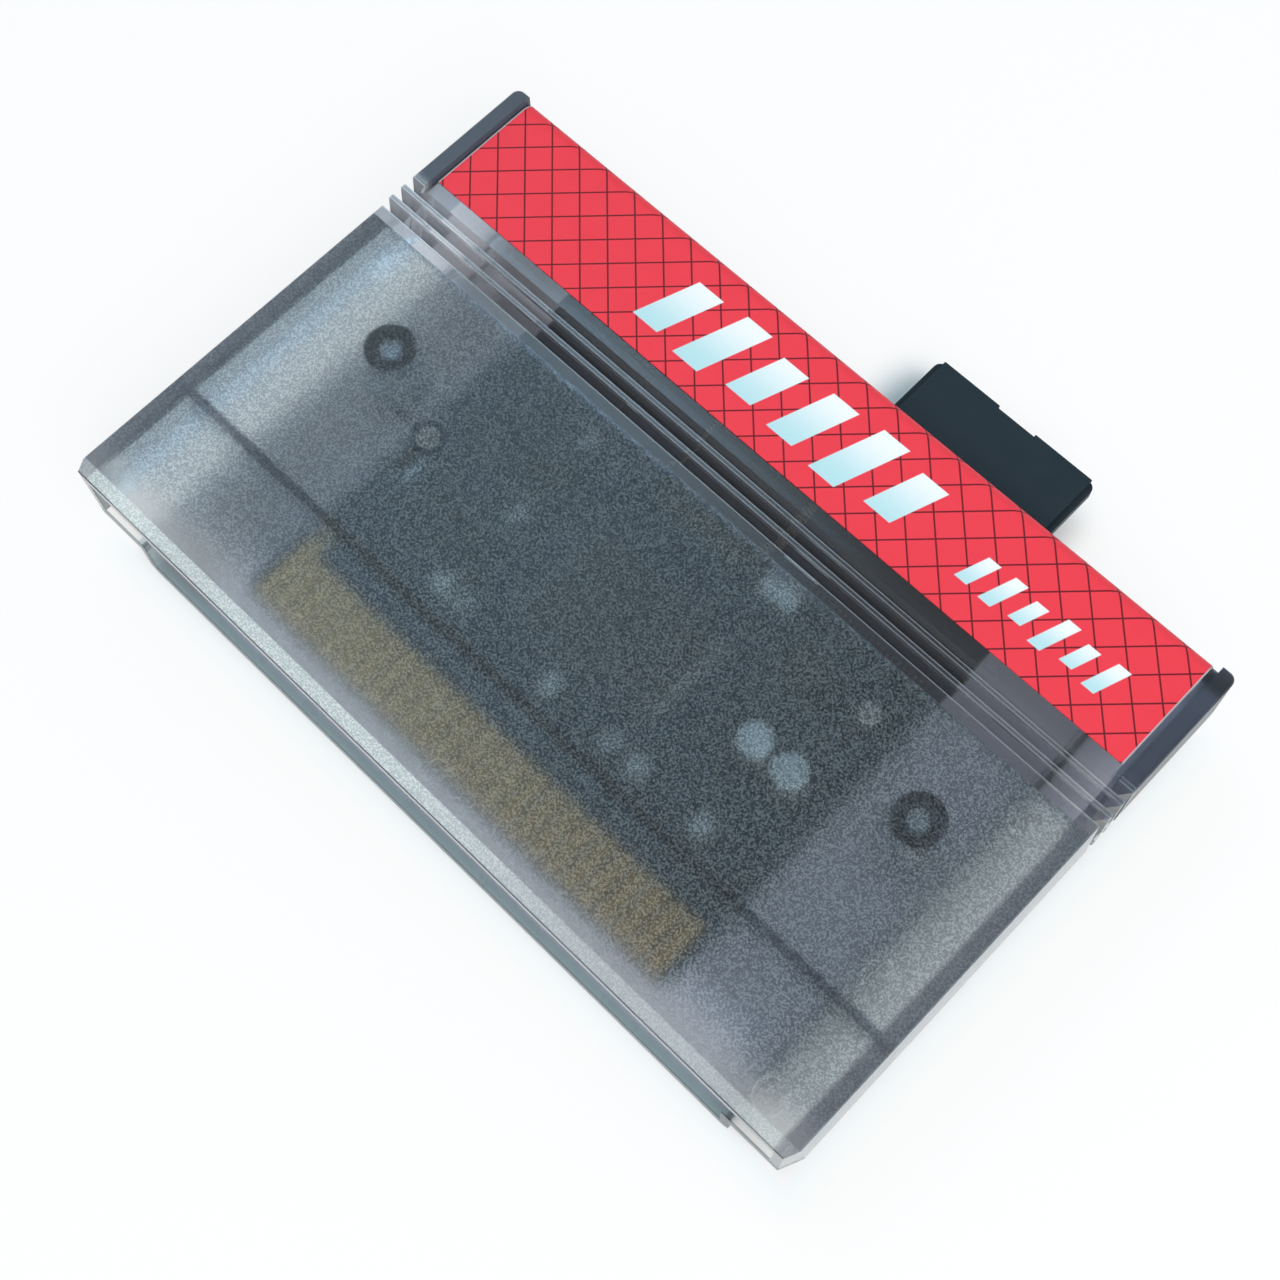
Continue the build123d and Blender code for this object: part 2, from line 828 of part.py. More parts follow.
nodes = {
    "front_shell": [make_front_shell()],
    "rear_shell": [make_rear_shell()],
    "label": [make_label()],
    "circuit_board": [make_board()],
    "edge_contacts_front": edge_contacts(board_front_z, contact_high_z, ground_contact_extra),
    "edge_contacts_rear": edge_contacts(contact_low_z, board_rear_z, 0),
    "flash_chip": [body_block(flash_x, flash_y, flash_length, flash_width, flash_thickness)],
    "logic_chip": [body_block(logic_x, logic_y, logic_side, logic_side, logic_thickness)],
    "ram_chip": [body_block(ram_x, ram_y, ram_length, ram_width, ram_thickness)],
    "config_chip": [body_block(config_x, config_y, config_length, config_width, config_thickness)],
    "voltage_regulator": [
        body_block(regulator_x, regulator_y, regulator_length, regulator_width, regulator_thickness)
    ],
    "socket_frame": [make_socket_frame()],
    "socket_cover": [make_socket_cover()],
    "socket_springs": socket_springs(),
    "card_case": [make_card_case()],
    "card_contacts": card_contacts(),
    "card_lock_tab": [make_lock_tab()],
    "shell_screws": [shell_screw(x, y) for x, y in boss_places],
}

nodes["flash_chip_leads"] = two_rows(
    flash_x, flash_y, (90, 270), flash_length / 2, flash_thickness,
    flash_reach, flash_lead_width, flash_lead_count, flash_lead_pitch,
)
nodes["logic_chip_leads"] = two_rows(
    logic_x, logic_y, (0, 90, 180, 270), logic_side / 2, logic_thickness,
    logic_reach, logic_lead_width, logic_lead_count, logic_lead_pitch,
)
nodes["ram_chip_leads"] = two_rows(
    ram_x, ram_y, (0, 180), ram_width / 2, ram_thickness,
    ram_reach, ram_lead_width, ram_lead_count, ram_lead_pitch,
)
nodes["config_chip_leads"] = two_rows(
    config_x, config_y, (0, 180), config_width / 2, config_thickness,
    config_reach, config_lead_width, config_lead_count, config_lead_pitch,
)

nodes["buffer_chips"] = []
nodes["buffer_chip_leads"] = []
for x, y in buffer_places:
    nodes["buffer_chips"].append(body_block(x, y, buffer_length, buffer_width, buffer_thickness))
    nodes["buffer_chip_leads"] += two_rows(
        x, y, (0, 180), buffer_width / 2, buffer_thickness,
        buffer_reach, buffer_lead_width, buffer_lead_count, buffer_lead_pitch,
    )

nodes["regulator_leads"] = lead_row(
    regulator_x, regulator_y, 180, regulator_width / 2, regulator_thickness,
    regulator_reach, regulator_lead_width, regulator_lead_count, regulator_lead_pitch,
)
nodes["regulator_leads"] += lead_row(
    regulator_x, regulator_y, 0, regulator_width / 2, regulator_thickness,
    regulator_reach, regulator_tab_width, 1, 0,
)

osc_low = board_front_z
osc_mid = osc_low + oscillator_base
osc_l = oscillator_length / 2
osc_w = oscillator_width / 2
osc_in = oscillator_lid_inset
nodes["oscillator_base"] = [
    block(
        oscillator_x - osc_l, oscillator_x + osc_l,
        oscillator_y - osc_w, oscillator_y + osc_w,
        osc_low, osc_mid,
    )
]
nodes["oscillator_lid"] = [
    block(
        oscillator_x - osc_l + osc_in, oscillator_x + osc_l - osc_in,
        oscillator_y - osc_w + osc_in, oscillator_y + osc_w - osc_in,
        osc_mid, osc_mid + oscillator_lid,
    )
]

base_half = can_base_side / 2
base_high = board_front_z + can_base_height
nodes["capacitor_cans"] = [can_capacitor(x, y) for x, y in can_places]
nodes["capacitor_bases"] = [
    block(x - base_half, x + base_half, y - base_half, y + base_half, board_front_z, base_high)
    for x, y in can_places
]

nodes["ceramic_capacitors"] = []
nodes["capacitor_ends"] = []
for x in block_xs:
    core, ends = chip_block(x, block_y, block_length, block_width, block_height, block_end)
    nodes["ceramic_capacitors"].append(core)
    nodes["capacitor_ends"] += ends
for x, y in tan_places:
    core, ends = upright_chip(x, y, tan_length, tan_width, tan_height, tan_end)
    nodes["ceramic_capacitors"].append(core)
    nodes["capacitor_ends"] += ends

nodes["chip_resistors"] = []
nodes["resistor_ends"] = []
for index in range(resistor_row):
    x = resistor_x + index * resistor_pitch
    core, ends = upright_chip(x, resistor_y, resistor_length, resistor_width, resistor_height, resistor_end)
    nodes["chip_resistors"].append(core)
    nodes["resistor_ends"] += ends

os.makedirs("parts", exist_ok=True)
for name, solids in nodes.items():
    shape = solids[0] if len(solids) == 1 else Compound(children=solids)
    export_step(shape, f"parts/{name}.step")
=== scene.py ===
import logging
from dataclasses import dataclass
from enum import Enum
from typing import Dict, Optional, Sequence, Tuple, Union

import bpy
import numpy as np
from mathutils import Matrix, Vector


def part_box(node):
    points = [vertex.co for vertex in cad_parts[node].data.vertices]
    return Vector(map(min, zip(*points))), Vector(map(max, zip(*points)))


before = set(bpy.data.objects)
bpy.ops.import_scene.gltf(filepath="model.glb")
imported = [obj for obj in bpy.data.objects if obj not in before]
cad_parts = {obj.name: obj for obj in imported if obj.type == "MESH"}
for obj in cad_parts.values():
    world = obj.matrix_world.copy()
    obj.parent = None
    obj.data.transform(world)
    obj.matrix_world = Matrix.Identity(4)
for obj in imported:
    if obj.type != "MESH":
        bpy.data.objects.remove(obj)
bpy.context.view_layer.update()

LOG = logging.getLogger("cartridge")
MM = 0.001
PLASTIC_IOR = 1.5

# Half widths of soft ends, in millimetres.
CRISP_MM = 0.02
KEEN_MM = 0.05
SOFT_MM = 0.1

# Noise runs from 0 to 1, and nearly all of it lies in this span.
NOISE_SPAN = (0.2, 0.8)
NOISE_MIDDLE = 0.5

Colour = Tuple[float, float, float]
Vector3 = Tuple[float, float, float]
Span = Tuple[float, float]
Socket = bpy.types.NodeSocket
Value = Union[float, Socket]


class Face(Enum):
    """Named planes of the shell's front half, as heights in millimetres."""

    FRONT = 16.5
    PLATE_INSIDE = 14.45
    STEP_FOOT = 13.55


class Ray(Enum):
    """Rays that see the floor as white, by their names in Blender."""

    CAMERA = "Is Camera Ray"
    GLOSSY = "Is Glossy Ray"
    TRANSMISSION = "Is Transmission Ray"


class Graph:
    """Node tree of one material, built with short calls around a Principled shader."""

    def __init__(self, name: str) -> None:
        """Starts an empty tree with a shader and an output.

        Args:
            name: Name of the material.
        """
        self.material = bpy.data.materials.new(name)
        self.material.use_nodes = True
        self.tree = self.material.node_tree
        self.tree.nodes.clear()
        self.shader = self.node("ShaderNodeBsdfPrincipled")
        self.output = self.node("ShaderNodeOutputMaterial")
        self.link(self.shader.outputs["BSDF"], self.output.inputs["Surface"])
        self._place: Optional[Tuple[Socket, Socket, Socket]] = None
        self._point: Optional[Socket] = None
        self._flat: Optional[Socket] = None

    def node(self, kind: str) -> bpy.types.Node:
        """Adds a node.

        Args:
            kind: Blender's name for the node type.

        Returns:
            The new node.
        """
        return self.tree.nodes.new(kind)

    def link(self, source: Socket, target: Socket) -> None:
        """Joins two sockets.

        Args:
            source: Output socket.
            target: Input socket.
        """
        self.tree.links.new(source, target)

    def feed(self, target: Socket, value: Union[Value, Colour]) -> None:
        """Sets an input to a number or colour, or links it.

        Args:
            target: Input socket.
            value: Number, colour or output socket.
        """
        if isinstance(value, bpy.types.NodeSocket):
            self.link(value, target)
        elif isinstance(value, (tuple, list)) and len(target.default_value) == 4:
            target.default_value = (*value, 1.0)
        else:
            target.default_value = value

    def set(self, **values: Union[Value, Colour]) -> None:
        """Sets or links inputs of the shader; underscores stand for spaces.

        Args:
            values: Input names and their values.
        """
        for name, value in values.items():
            self.feed(self.shader.inputs[name.replace("_", " ")], value)

    def math(self, operation: str, first: Value, second: Value = 0.0) -> Socket:
        """One step of arithmetic.

        Args:
            operation: Blender's name for the operation.
            first: First value.
            second: Second value.

        Returns:
            Output socket with the result.
        """
        step = self.node("ShaderNodeMath")
        step.operation = operation
        self.feed(step.inputs[0], first)
        self.feed(step.inputs[1], second)
        return step.outputs[0]

    def both(self, *masks: Value) -> Socket:
        """Product of masks, for where all of them hold.

        Args:
            masks: Masks or shares.

        Returns:
            Mask of what they have in common.
        """
        shared = masks[0]
        for mask in masks[1:]:
            shared = self.math("MULTIPLY", shared, mask)
        return shared

    def either(self, *masks: Value) -> Socket:
        """Greatest of masks, for where any of them holds.

        Args:
            masks: Masks.

        Returns:
            Mask of all that they cover.
        """
        merged = masks[0]
        for mask in masks[1:]:
            merged = self.math("MAXIMUM", merged, mask)
        return merged

    def without(self, mask: Value) -> Socket:
        """Opposite of a mask.

        Args:
            mask: The mask.

        Returns:
            Mask of what it leaves.
        """
        return self.math("SUBTRACT", 1.0, mask)

    def point(self) -> Socket:
        """Object coordinates, made once.

        Returns:
            Vector socket in metres.
        """
        if self._point is None:
            self._point = self.node("ShaderNodeTexCoord").outputs["Object"]
        return self._point

    def place(self) -> Tuple[Socket, Socket, Socket]:
        """Object coordinates in millimetres, made once.

        Returns:
            Sockets for x, y and z.
        """
        if self._place is None:
            split = self.node("ShaderNodeSeparateXYZ")
            self.link(self.point(), split.inputs[0])
            self._place = tuple(self.math("MULTIPLY", out, 1.0 / MM) for out in split.outputs)
        return self._place

    def ramp(
        self, value: Value, low: float, high: float, to_low: float = 0.0, to_high: float = 1.0
    ) -> Socket:
        """Smooth step from one value to another.

        Args:
            value: Input value.
            low: Where the step starts.
            high: Where the step ends.
            to_low: Result before the step.
            to_high: Result after the step.

        Returns:
            Output socket with the result.
        """
        step = self.node("ShaderNodeMapRange")
        step.interpolation_type = "SMOOTHSTEP"
        self.feed(step.inputs["Value"], value)
        step.inputs["From Min"].default_value = low
        step.inputs["From Max"].default_value = high
        step.inputs["To Min"].default_value = to_low
        step.inputs["To Max"].default_value = to_high
        return step.outputs["Result"]

    def within(self, value: Value, low: float, high: float, soft: float) -> Socket:
        """1 between two limits and 0 outside them, with soft ends.

        Args:
            value: Input value.
            low: Lower limit.
            high: Upper limit.
            soft: Half width of each soft end.

        Returns:
            Output socket with the mask.
        """
        rise = self.ramp(value, low - soft, low + soft)
        fall = self.ramp(value, high - soft, high + soft, 1.0, 0.0)
        return self.math("MULTIPLY", rise, fall)

    def flat(self) -> Socket:
        """Object coordinates in millimetres without their height, made once.

        Returns:
            Vector socket.
        """
        if self._flat is None:
            x, y, _ = self.place()
            join = self.node("ShaderNodeCombineXYZ")
            self.link(x, join.inputs["X"])
            self.link(y, join.inputs["Y"])
            self._flat = join.outputs[0]
        return self._flat

    def away(self, place: Span) -> Socket:
        """Distance in the plane of the face from a place.

        Args:
            place: The place's x and y in millimetres.

        Returns:
            Output socket in millimetres.
        """
        gap = self.node("ShaderNodeVectorMath")
        gap.operation = "DISTANCE"
        self.link(self.flat(), gap.inputs[0])
        gap.inputs[1].default_value = (*place, 0.0)
        return gap.outputs["Value"]

    def disc(self, place: Span, radius: float, soft: float) -> Socket:
        """1 inside a circle and 0 outside it.

        Args:
            place: The circle's middle, x and y in millimetres.
            radius: The circle's radius.
            soft: Half width of the soft edge.

        Returns:
            Output socket with the mask.
        """
        return self.ramp(self.away(place), radius - soft, radius + soft, 1.0, 0.0)

    def noise(self, size_mm: float, detail: float = 2.0, roughness: float = 0.5) -> Socket:
        """Cloudy noise with features of about the given size.

        Args:
            size_mm: Size of the largest features.
            detail: Number of finer layers.
            roughness: Strength of the finer layers.

        Returns:
            Output socket between 0 and 1.
        """
        cloud = self.node("ShaderNodeTexNoise")
        self.link(self.point(), cloud.inputs["Vector"])
        cloud.inputs["Scale"].default_value = 1.0 / (size_mm * MM)
        cloud.inputs["Detail"].default_value = detail
        cloud.inputs["Roughness"].default_value = roughness
        return cloud.outputs["Fac"]

    def mix(self, factor: Value, first: Union[Socket, Colour], second: Union[Socket, Colour]) -> Socket:
        """Blend of two colours.

        Args:
            factor: 0 for the first, 1 for the second.
            first: First colour.
            second: Second colour.

        Returns:
            Colour socket.
        """
        blend = self.node("ShaderNodeMix")
        blend.data_type = "RGBA"
        self.feed(blend.inputs[0], factor)
        self.feed(blend.inputs[6], first)
        self.feed(blend.inputs[7], second)
        return blend.outputs[2]

    def bump(self, height: Socket, depth_mm: float, strength: float = 1.0) -> None:
        """Fine relief on the shader's normal.

        Args:
            height: Height between 0 and 1.
            depth_mm: Depth of the relief.
            strength: Share of the relief that shows.
        """
        relief = self.node("ShaderNodeBump")
        relief.inputs["Strength"].default_value = strength
        relief.inputs["Distance"].default_value = depth_mm * MM
        self.link(height, relief.inputs["Height"])
        self.link(relief.outputs["Normal"], self.shader.inputs["Normal"])


@dataclass(frozen=True)
class SmokeTone:
    """What the see-through smoke-grey plastic takes out of the light."""

    absorbed: Colour = (0.23, 0.26, 0.34)
    density: float = 190.0

    def fill(self, graph: Graph) -> None:
        """Adds the absorption to a material.

        Args:
            graph: The material's tree.
        """
        absorb = graph.node("ShaderNodeVolumeAbsorption")
        graph.feed(absorb.inputs["Color"], self.absorbed)
        graph.feed(absorb.inputs["Density"], self.density)
        graph.link(absorb.outputs["Volume"], graph.output.inputs["Volume"])


@dataclass(frozen=True)
class CoolEdgeShade:
    """Painted cool shade: a cooler, darker tint on the shell's outer faces at the connector end and at the
    left and right sides, in place of the shaded floor that they reflect.
    """

    # Painted shade: the end and side tints stand in for the cool shade reflected in these faces.
    end_shade_tint: Colour = (0.48, 0.58, 0.62)
    side_shade_tint: Colour = (0.78, 0.90, 0.96)
    end_at: float = -34.95
    side_at: float = 54.3

    def cover(self, graph: Graph, body: Socket) -> Socket:
        """Lays the tints over the body's colour.

        Args:
            graph: The material's tree.
            body: Colour of the rest of the shell.

        Returns:
            Colour socket.
        """
        x, y, _ = graph.place()
        side = graph.ramp(graph.math("ABSOLUTE", x), self.side_at - KEEN_MM, self.side_at)
        end = graph.ramp(y, self.end_at, self.end_at + KEEN_MM, 1.0, 0.0)
        return graph.mix(end, graph.mix(side, body, self.side_shade_tint), self.end_shade_tint)


@dataclass(frozen=True)
class SmokeRear:
    """See-through rear half: smooth, with painted shade over the pad and beside the label, darker on the
    left, and dark at the mouth.

    Places are millimetres in the shell's frame. A span is where one look gives way to another.
    """

    name: str = "smoke_rear"
    tone: SmokeTone = SmokeTone(density=18.0)
    tint: Colour = (0.99, 0.97, 0.95)
    pale: Colour = (1.0, 0.99, 0.97)
    pad_half: float = 46.8
    # Painted shade: the pad tints darken what is seen through the pad, in place of the shaded floor under
    # it, darker still on the left.
    pad_shade_tint: Colour = (0.70, 0.72, 0.82)
    pad_left_shade_tint: Colour = (0.60, 0.58, 0.61)
    pad_left: Span = (-40.0, -36.0)
    shoulder_from: Span = (20.0, 20.8)
    shoulder_right: Span = (0.0, 1.0)
    shoulder_right_from: Span = (13.0, 14.0)
    lip_tint: Colour = (0.52, 0.64, 0.68)
    lip_from: Span = (-34.3, -33.4)
    line_tint: Colour = (0.20, 0.25, 0.27)
    line_from: Span = (-34.91, -34.88)
    line_above: Span = (1.4, 1.6)
    cool_edge_shade: CoolEdgeShade = CoolEdgeShade()
    cloud_mm: float = 18.0
    roughness: Span = (0.24, 0.32)
    clear: float = 0.98
    wave_mm: float = 9.0
    wave_detail: float = 1.0
    wave_depth_mm: float = 0.02
    wave_strength: float = 0.4

    def build(self) -> bpy.types.Material:
        """Makes the material.

        Returns:
            The finished material.
        """
        graph = Graph(self.name)
        cloud = graph.noise(self.cloud_mm)
        x, y, z = graph.place()
        pad = graph.within(x, -self.pad_half, self.pad_half, SOFT_MM)
        right = graph.both(graph.ramp(x, *self.shoulder_right), graph.ramp(y, *self.shoulder_right_from))
        pad = graph.either(pad, right, graph.ramp(y, *self.shoulder_from))
        body = graph.mix(cloud, self.tint, self.pale)
        # Painted shade over the pad, darker on the left.
        under = graph.mix(graph.ramp(x, *self.pad_left), self.pad_left_shade_tint, self.pad_shade_tint)
        under = graph.mix(graph.ramp(y, *self.lip_from, 1.0, 0.0), under, self.lip_tint)
        line = graph.both(graph.ramp(y, *self.line_from, 1.0, 0.0), graph.ramp(z, *self.line_above))
        # Painted cool shade on the outer end and side faces.
        body = self.cool_edge_shade.cover(graph, graph.mix(pad, body, under))
        graph.set(Base_Color=graph.mix(line, body, self.line_tint))
        graph.set(Transmission_Weight=self.clear, IOR=PLASTIC_IOR)
        graph.set(Roughness=graph.ramp(cloud, *NOISE_SPAN, *self.roughness))
        wave = graph.noise(self.wave_mm, self.wave_detail)
        graph.bump(wave, self.wave_depth_mm, self.wave_strength)
        self.tone.fill(graph)
        return graph.material


@dataclass(frozen=True)
class SmokeFront:
    """See-through front half: pebbled face with painted glints, plain grip, a bevel of painted light and
    rails of painted shade.

    Places are millimetres in the shell's frame, and depths are counted from the front face. A span
    is where one look gives way to another. Each haze is the share of light that the surface scatters
    instead of letting it through.
    """

    name: str = "smoke_front"
    tone: SmokeTone = SmokeTone()
    cool_edge_shade: CoolEdgeShade = CoolEdgeShade()
    inside_tint: Colour = (1.0, 0.98, 0.95)
    face_depths: Span = (0.45, 0.35)
    grip_depths: Span = (1.8, 1.6)

    pebbled_to: float = 10.85
    pebble_mm: float = 0.21
    pebble_detail: float = 2.0
    pebble_mix: float = 0.65
    pebble_depth_mm: float = 0.07
    pebble_roughness: float = 0.34
    # Pebble grain: real pebbling, with painted glints on the pale tips and painted shade in the dark pits.
    speck_levels: Span = (0.47, 0.56)
    speck_haze: float = 0.10
    pit_shade_tint: Colour = (0.35, 0.43, 0.50)
    tip_glint_tint: Colour = (0.82, 0.97, 1.0)

    plain_roughness: float = 0.1
    plain_tint: Colour = (0.74, 0.76, 0.82)
    plain_haze: float = 0.045
    # Painted highlight: more haze on the left of the plain grip.
    plain_highlight_haze_left: float = 0.3
    plain_left: Span = (-50.0, -37.5)

    first_tip: float = 13.63
    tip_width: float = 0.6
    tip_pitch: float = 1.93
    tip_lines: Span = (12.1, 18.1)
    line_width: float = 0.14
    # Painted highlights along the edges of the grip tips.
    line_tint: Colour = (0.80, 0.86, 0.92)
    line_highlight_haze: float = 0.17

    # Painted light: the pale bevel stands in for light piped through the wall from the floor in front,
    # weaker towards the right.
    bevel_to: float = -33.35
    bevel_soft: float = 0.15
    bevel_fade: Span = (-5.0, 30.0)
    bevel_share: float = 0.6
    bevel_light_haze: float = 0.65
    bevel_light_tint: Colour = (0.60, 0.69, 0.68)
    bevel_tip_light_tint: Colour = (0.95, 1.0, 0.98)
    # Painted light: paler near the bottom edge, in place of light coming in from the mouth.
    edge_to: float = -28.5
    edge_light_tint: Colour = (0.84, 0.86, 0.85)
    edge_share: float = 0.85
    edge_light_haze: float = 0.12

    rail_from: Span = (17.0, 19.0)
    rail_middle: float = -0.25
    rail_inner: Span = (52.0, 52.15)
    rail_sides: Span = (-1.0, 1.0)
    # Painted shade: dark rails, in place of the deep walls seen through them, darker on the left.
    rail_shade_tint: Colour = (0.36, 0.41, 0.49)
    rail_shade_tint_left: Colour = (0.14, 0.16, 0.21)
    rail_roughness: float = 0.32
    step_at: float = 11.3
    step_soft: float = 0.03
    step_tint: Colour = (0.18, 0.20, 0.23)

    mark_side: float = 48.7
    mark_rows: Tuple[float, ...] = (-31.45, -15.25, 7.55)
    mark_radius: float = 1.9
    mark_width: float = 0.16
    mark_haze: float = 0.11
    # Painted light: pale discs over the pegs, in place of the lit peg ends seen through the face.
    peg_light_places: Tuple[Span, ...] = ((-28.3, -5.05), (29.1, 4.9))
    peg_light_radius: float = 1.4
    peg_light_soft: float = 0.25
    peg_light_haze: float = 0.11

    shadow_soft: float = 0.12
    # Painted shade: dark rings over the bosses and the left peg.
    ring_places: Tuple[Span, ...] = ((-39.76, -0.12), (40.53, -0.14), (-28.3, -5.05))
    ring_radii: Tuple[Span, ...] = ((1.3, 3.1), (1.3, 3.1), (1.4, 2.2))
    ring_share: float = 0.45
    ring_shade_tint: Colour = (0.06, 0.08, 0.16)
    rib: Span = (-20.1, -18.8)
    # Painted shade on the rib under the face.
    rib_shade_tint: Colour = (0.46, 0.50, 0.55)
    rib_shadow: Span = (-20.3, -19.3)
    rib_shadow_from: Span = (30.0, 35.0)
    rib_shadow_share: Span = (0.12, 0.32)
    # Painted shade: dark bands over the side walls, in place of the shade seen down the deep walls.
    wall_from: Span = (52.0, 52.4)
    wall_share: float = 0.42
    wall_shade_tint: Colour = (0.10, 0.09, 0.16)

    jamb_at: float = 52.45
    jamb_to: Span = (-31.7, -31.5)
    # Painted light: pale inner side faces at the mouth, in place of light coming in through the opening.
    jamb_light_haze: float = 0.5
    jamb_light_tint: Colour = (0.72, 0.80, 0.82)
    lip_line: Span = (-34.94, -34.9)
    lip_tint: Colour = (0.18, 0.22, 0.24)

    def _marks(self, graph: Graph) -> Socket:
        """Faint rings where pins pushed the moulding out: places at the mark radius from a centre.

        Args:
            graph: The material's tree.

        Returns:
            Mask of the rings.
        """
        rings = []
        for side in (-self.mark_side, self.mark_side):
            for row in self.mark_rows:
                off = graph.math("SUBTRACT", graph.away((side, row)), self.mark_radius)
                off = graph.math("ABSOLUTE", off)
                rings.append(graph.ramp(off, self.mark_width / 2, self.mark_width, 1.0, 0.0))
        return graph.either(*rings)

    def _peg_lights(self, graph: Graph) -> Socket:
        """Pale discs of painted light on the face over the two locating pegs, in place of their lit ends
        seen through it: places near a disc's middle.

        Args:
            graph: The material's tree.

        Returns:
            Mask of the spots.
        """
        spots = (graph.disc(place, self.peg_light_radius, self.peg_light_soft) for place in self.peg_light_places)
        return graph.either(*spots)

    def _shade_rings(self, graph: Graph) -> Socket:
        """Painted shade: dark rings where the screw bosses and the left peg meet the face, in place of their
        shaded walls seen through it: between two radii.

        Args:
            graph: The material's tree.

        Returns:
            Mask of the rings.
        """
        rings = []
        for place, radii in zip(self.ring_places, self.ring_radii):
            rings.append(graph.within(graph.away(place), *radii, self.shadow_soft))
        return graph.either(*rings)

    def _tip_highlights(self, graph: Graph) -> Socket:
        """Painted highlights: light lines along both edges of each flat grip tip, repeated at the tooth
        pitch.

        Args:
            graph: The material's tree.

        Returns:
            Mask of the lines.
        """
        _, y, _ = graph.place()
        phase = graph.math("FLOORED_MODULO", graph.math("SUBTRACT", y, self.first_tip), self.tip_pitch)
        low = graph.within(phase, 0.0, self.line_width, CRISP_MM)
        high = graph.within(phase, self.tip_width - self.line_width, self.tip_width, CRISP_MM)
        return graph.both(graph.either(low, high), graph.within(y, *self.tip_lines, KEEN_MM))

    def _zones(self, graph: Graph) -> Dict[str, Socket]:
        """Where each finish of the front half lies.

        Args:
            graph: The material's tree.

        Returns:
            Masks by name.
        """
        x, y, z = graph.place()
        out = graph.math("ABSOLUTE", x)
        face = Face.FRONT.value
        plate = Face.PLATE_INSIDE.value
        on_front = graph.ramp(z, *(face - depth for depth in self.face_depths))
        outside = graph.ramp(z, *(face - depth for depth in self.grip_depths))
        behind = graph.ramp(z, plate - KEEN_MM, plate, 1.0, 0.0)
        below_grip = graph.ramp(y, self.pebbled_to - SOFT_MM, self.pebbled_to + SOFT_MM, 1.0, 0.0)
        pebbled = graph.both(on_front, below_grip)
        bevel = graph.ramp(y, self.bevel_to - self.bevel_soft, self.bevel_to + self.bevel_soft, 1.0, 0.0)
        fade = graph.ramp(x, *self.bevel_fade, 1.0, self.bevel_share)
        off_middle = graph.math("ABSOLUTE", graph.math("SUBTRACT", x, self.rail_middle))
        step = graph.within(z, Face.STEP_FOOT.value, plate, self.step_soft)
        at_step = graph.within(y, self.step_at - KEEN_MM, self.step_at + KEEN_MM, CRISP_MM)
        jamb = graph.within(out, self.jamb_at - SOFT_MM, self.jamb_at + SOFT_MM, KEEN_MM)
        shadow = graph.within(y, *self.rib_shadow, self.shadow_soft)
        shadow_share = graph.ramp(out, *self.rib_shadow_from, *self.rib_shadow_share)
        return {
            "pebbled": pebbled,
            "plain": graph.both(outside, graph.without(below_grip)),
            "bevel": graph.both(bevel, fade, on_front),
            "edge": graph.both(on_front, graph.ramp(y, self.bevel_to, self.edge_to, 1.0, 0.0)),
            "lines": graph.both(self._tip_highlights(graph), on_front),
            "marks": graph.both(self._marks(graph), pebbled),
            "peg_lights": graph.both(self._peg_lights(graph), pebbled),
            "rings": graph.both(self._shade_rings(graph), pebbled, self.ring_share),
            "rail": graph.both(graph.ramp(off_middle, *self.rail_inner), graph.ramp(y, *self.rail_from)),
            "step": graph.both(step, at_step),
            "rib": graph.both(graph.within(y, *self.rib, CRISP_MM), behind),
            "rib_shadow": graph.both(shadow, shadow_share, pebbled),
            # Painted shade over the side walls.
            "wall_shade": graph.both(graph.ramp(out, *self.wall_from, 0.0, self.wall_share), pebbled),
            "jamb": graph.both(jamb, graph.ramp(y, *self.jamb_to, 1.0, 0.0), behind),
            "lip": graph.both(on_front, graph.ramp(y, *self.lip_line, 1.0, 0.0)),
        }

    def _haze(self, graph: Graph, zones: Dict[str, Socket]) -> Socket:
        """Share of the light that the surface scatters, with painted light in several zones.

        Args:
            graph: The material's tree.
            zones: Masks by name.

        Returns:
            Output socket between 0 and 1.
        """
        x, _, _ = graph.place()
        shares = {
            "specks": self.speck_haze,
            # Painted highlight: the plain grip scatters more towards its left side.
            "plain": graph.ramp(x, *self.plain_left, self.plain_highlight_haze_left, self.plain_haze),
            "edge": self.edge_light_haze,
            "lines": self.line_highlight_haze,
            "marks": self.mark_haze,
            "peg_lights": self.peg_light_haze,
            # Painted light on the inner side faces at the mouth.
            "jamb": self.jamb_light_haze,
        }
        haze: Value = 0.0
        for name, share in shares.items():
            haze = graph.math("ADD", haze, graph.both(zones[name], share))
        # Painted light on the bevel.
        haze = graph.either(haze, graph.both(zones["bevel"], self.bevel_light_haze))
        return graph.both(haze, graph.without(zones["lip"]))

    def _colour(self, graph: Graph, zones: Dict[str, Socket]) -> Socket:
        """Tint of the surface, laid on zone by zone, with painted light and shade among the zones.

        Args:
            graph: The material's tree.
            zones: Masks by name.

        Returns:
            Colour socket.
        """
        x, _, _ = graph.place()
        specks = zones["specks"]
        # Pebble grain with painted glints on the tips and painted shade in the pits.
        pebbles = graph.mix(specks, self.pit_shade_tint, self.tip_glint_tint)
        body = graph.mix(zones["pebbled"], self.inside_tint, pebbles)
        body = graph.mix(zones["plain"], body, self.plain_tint)
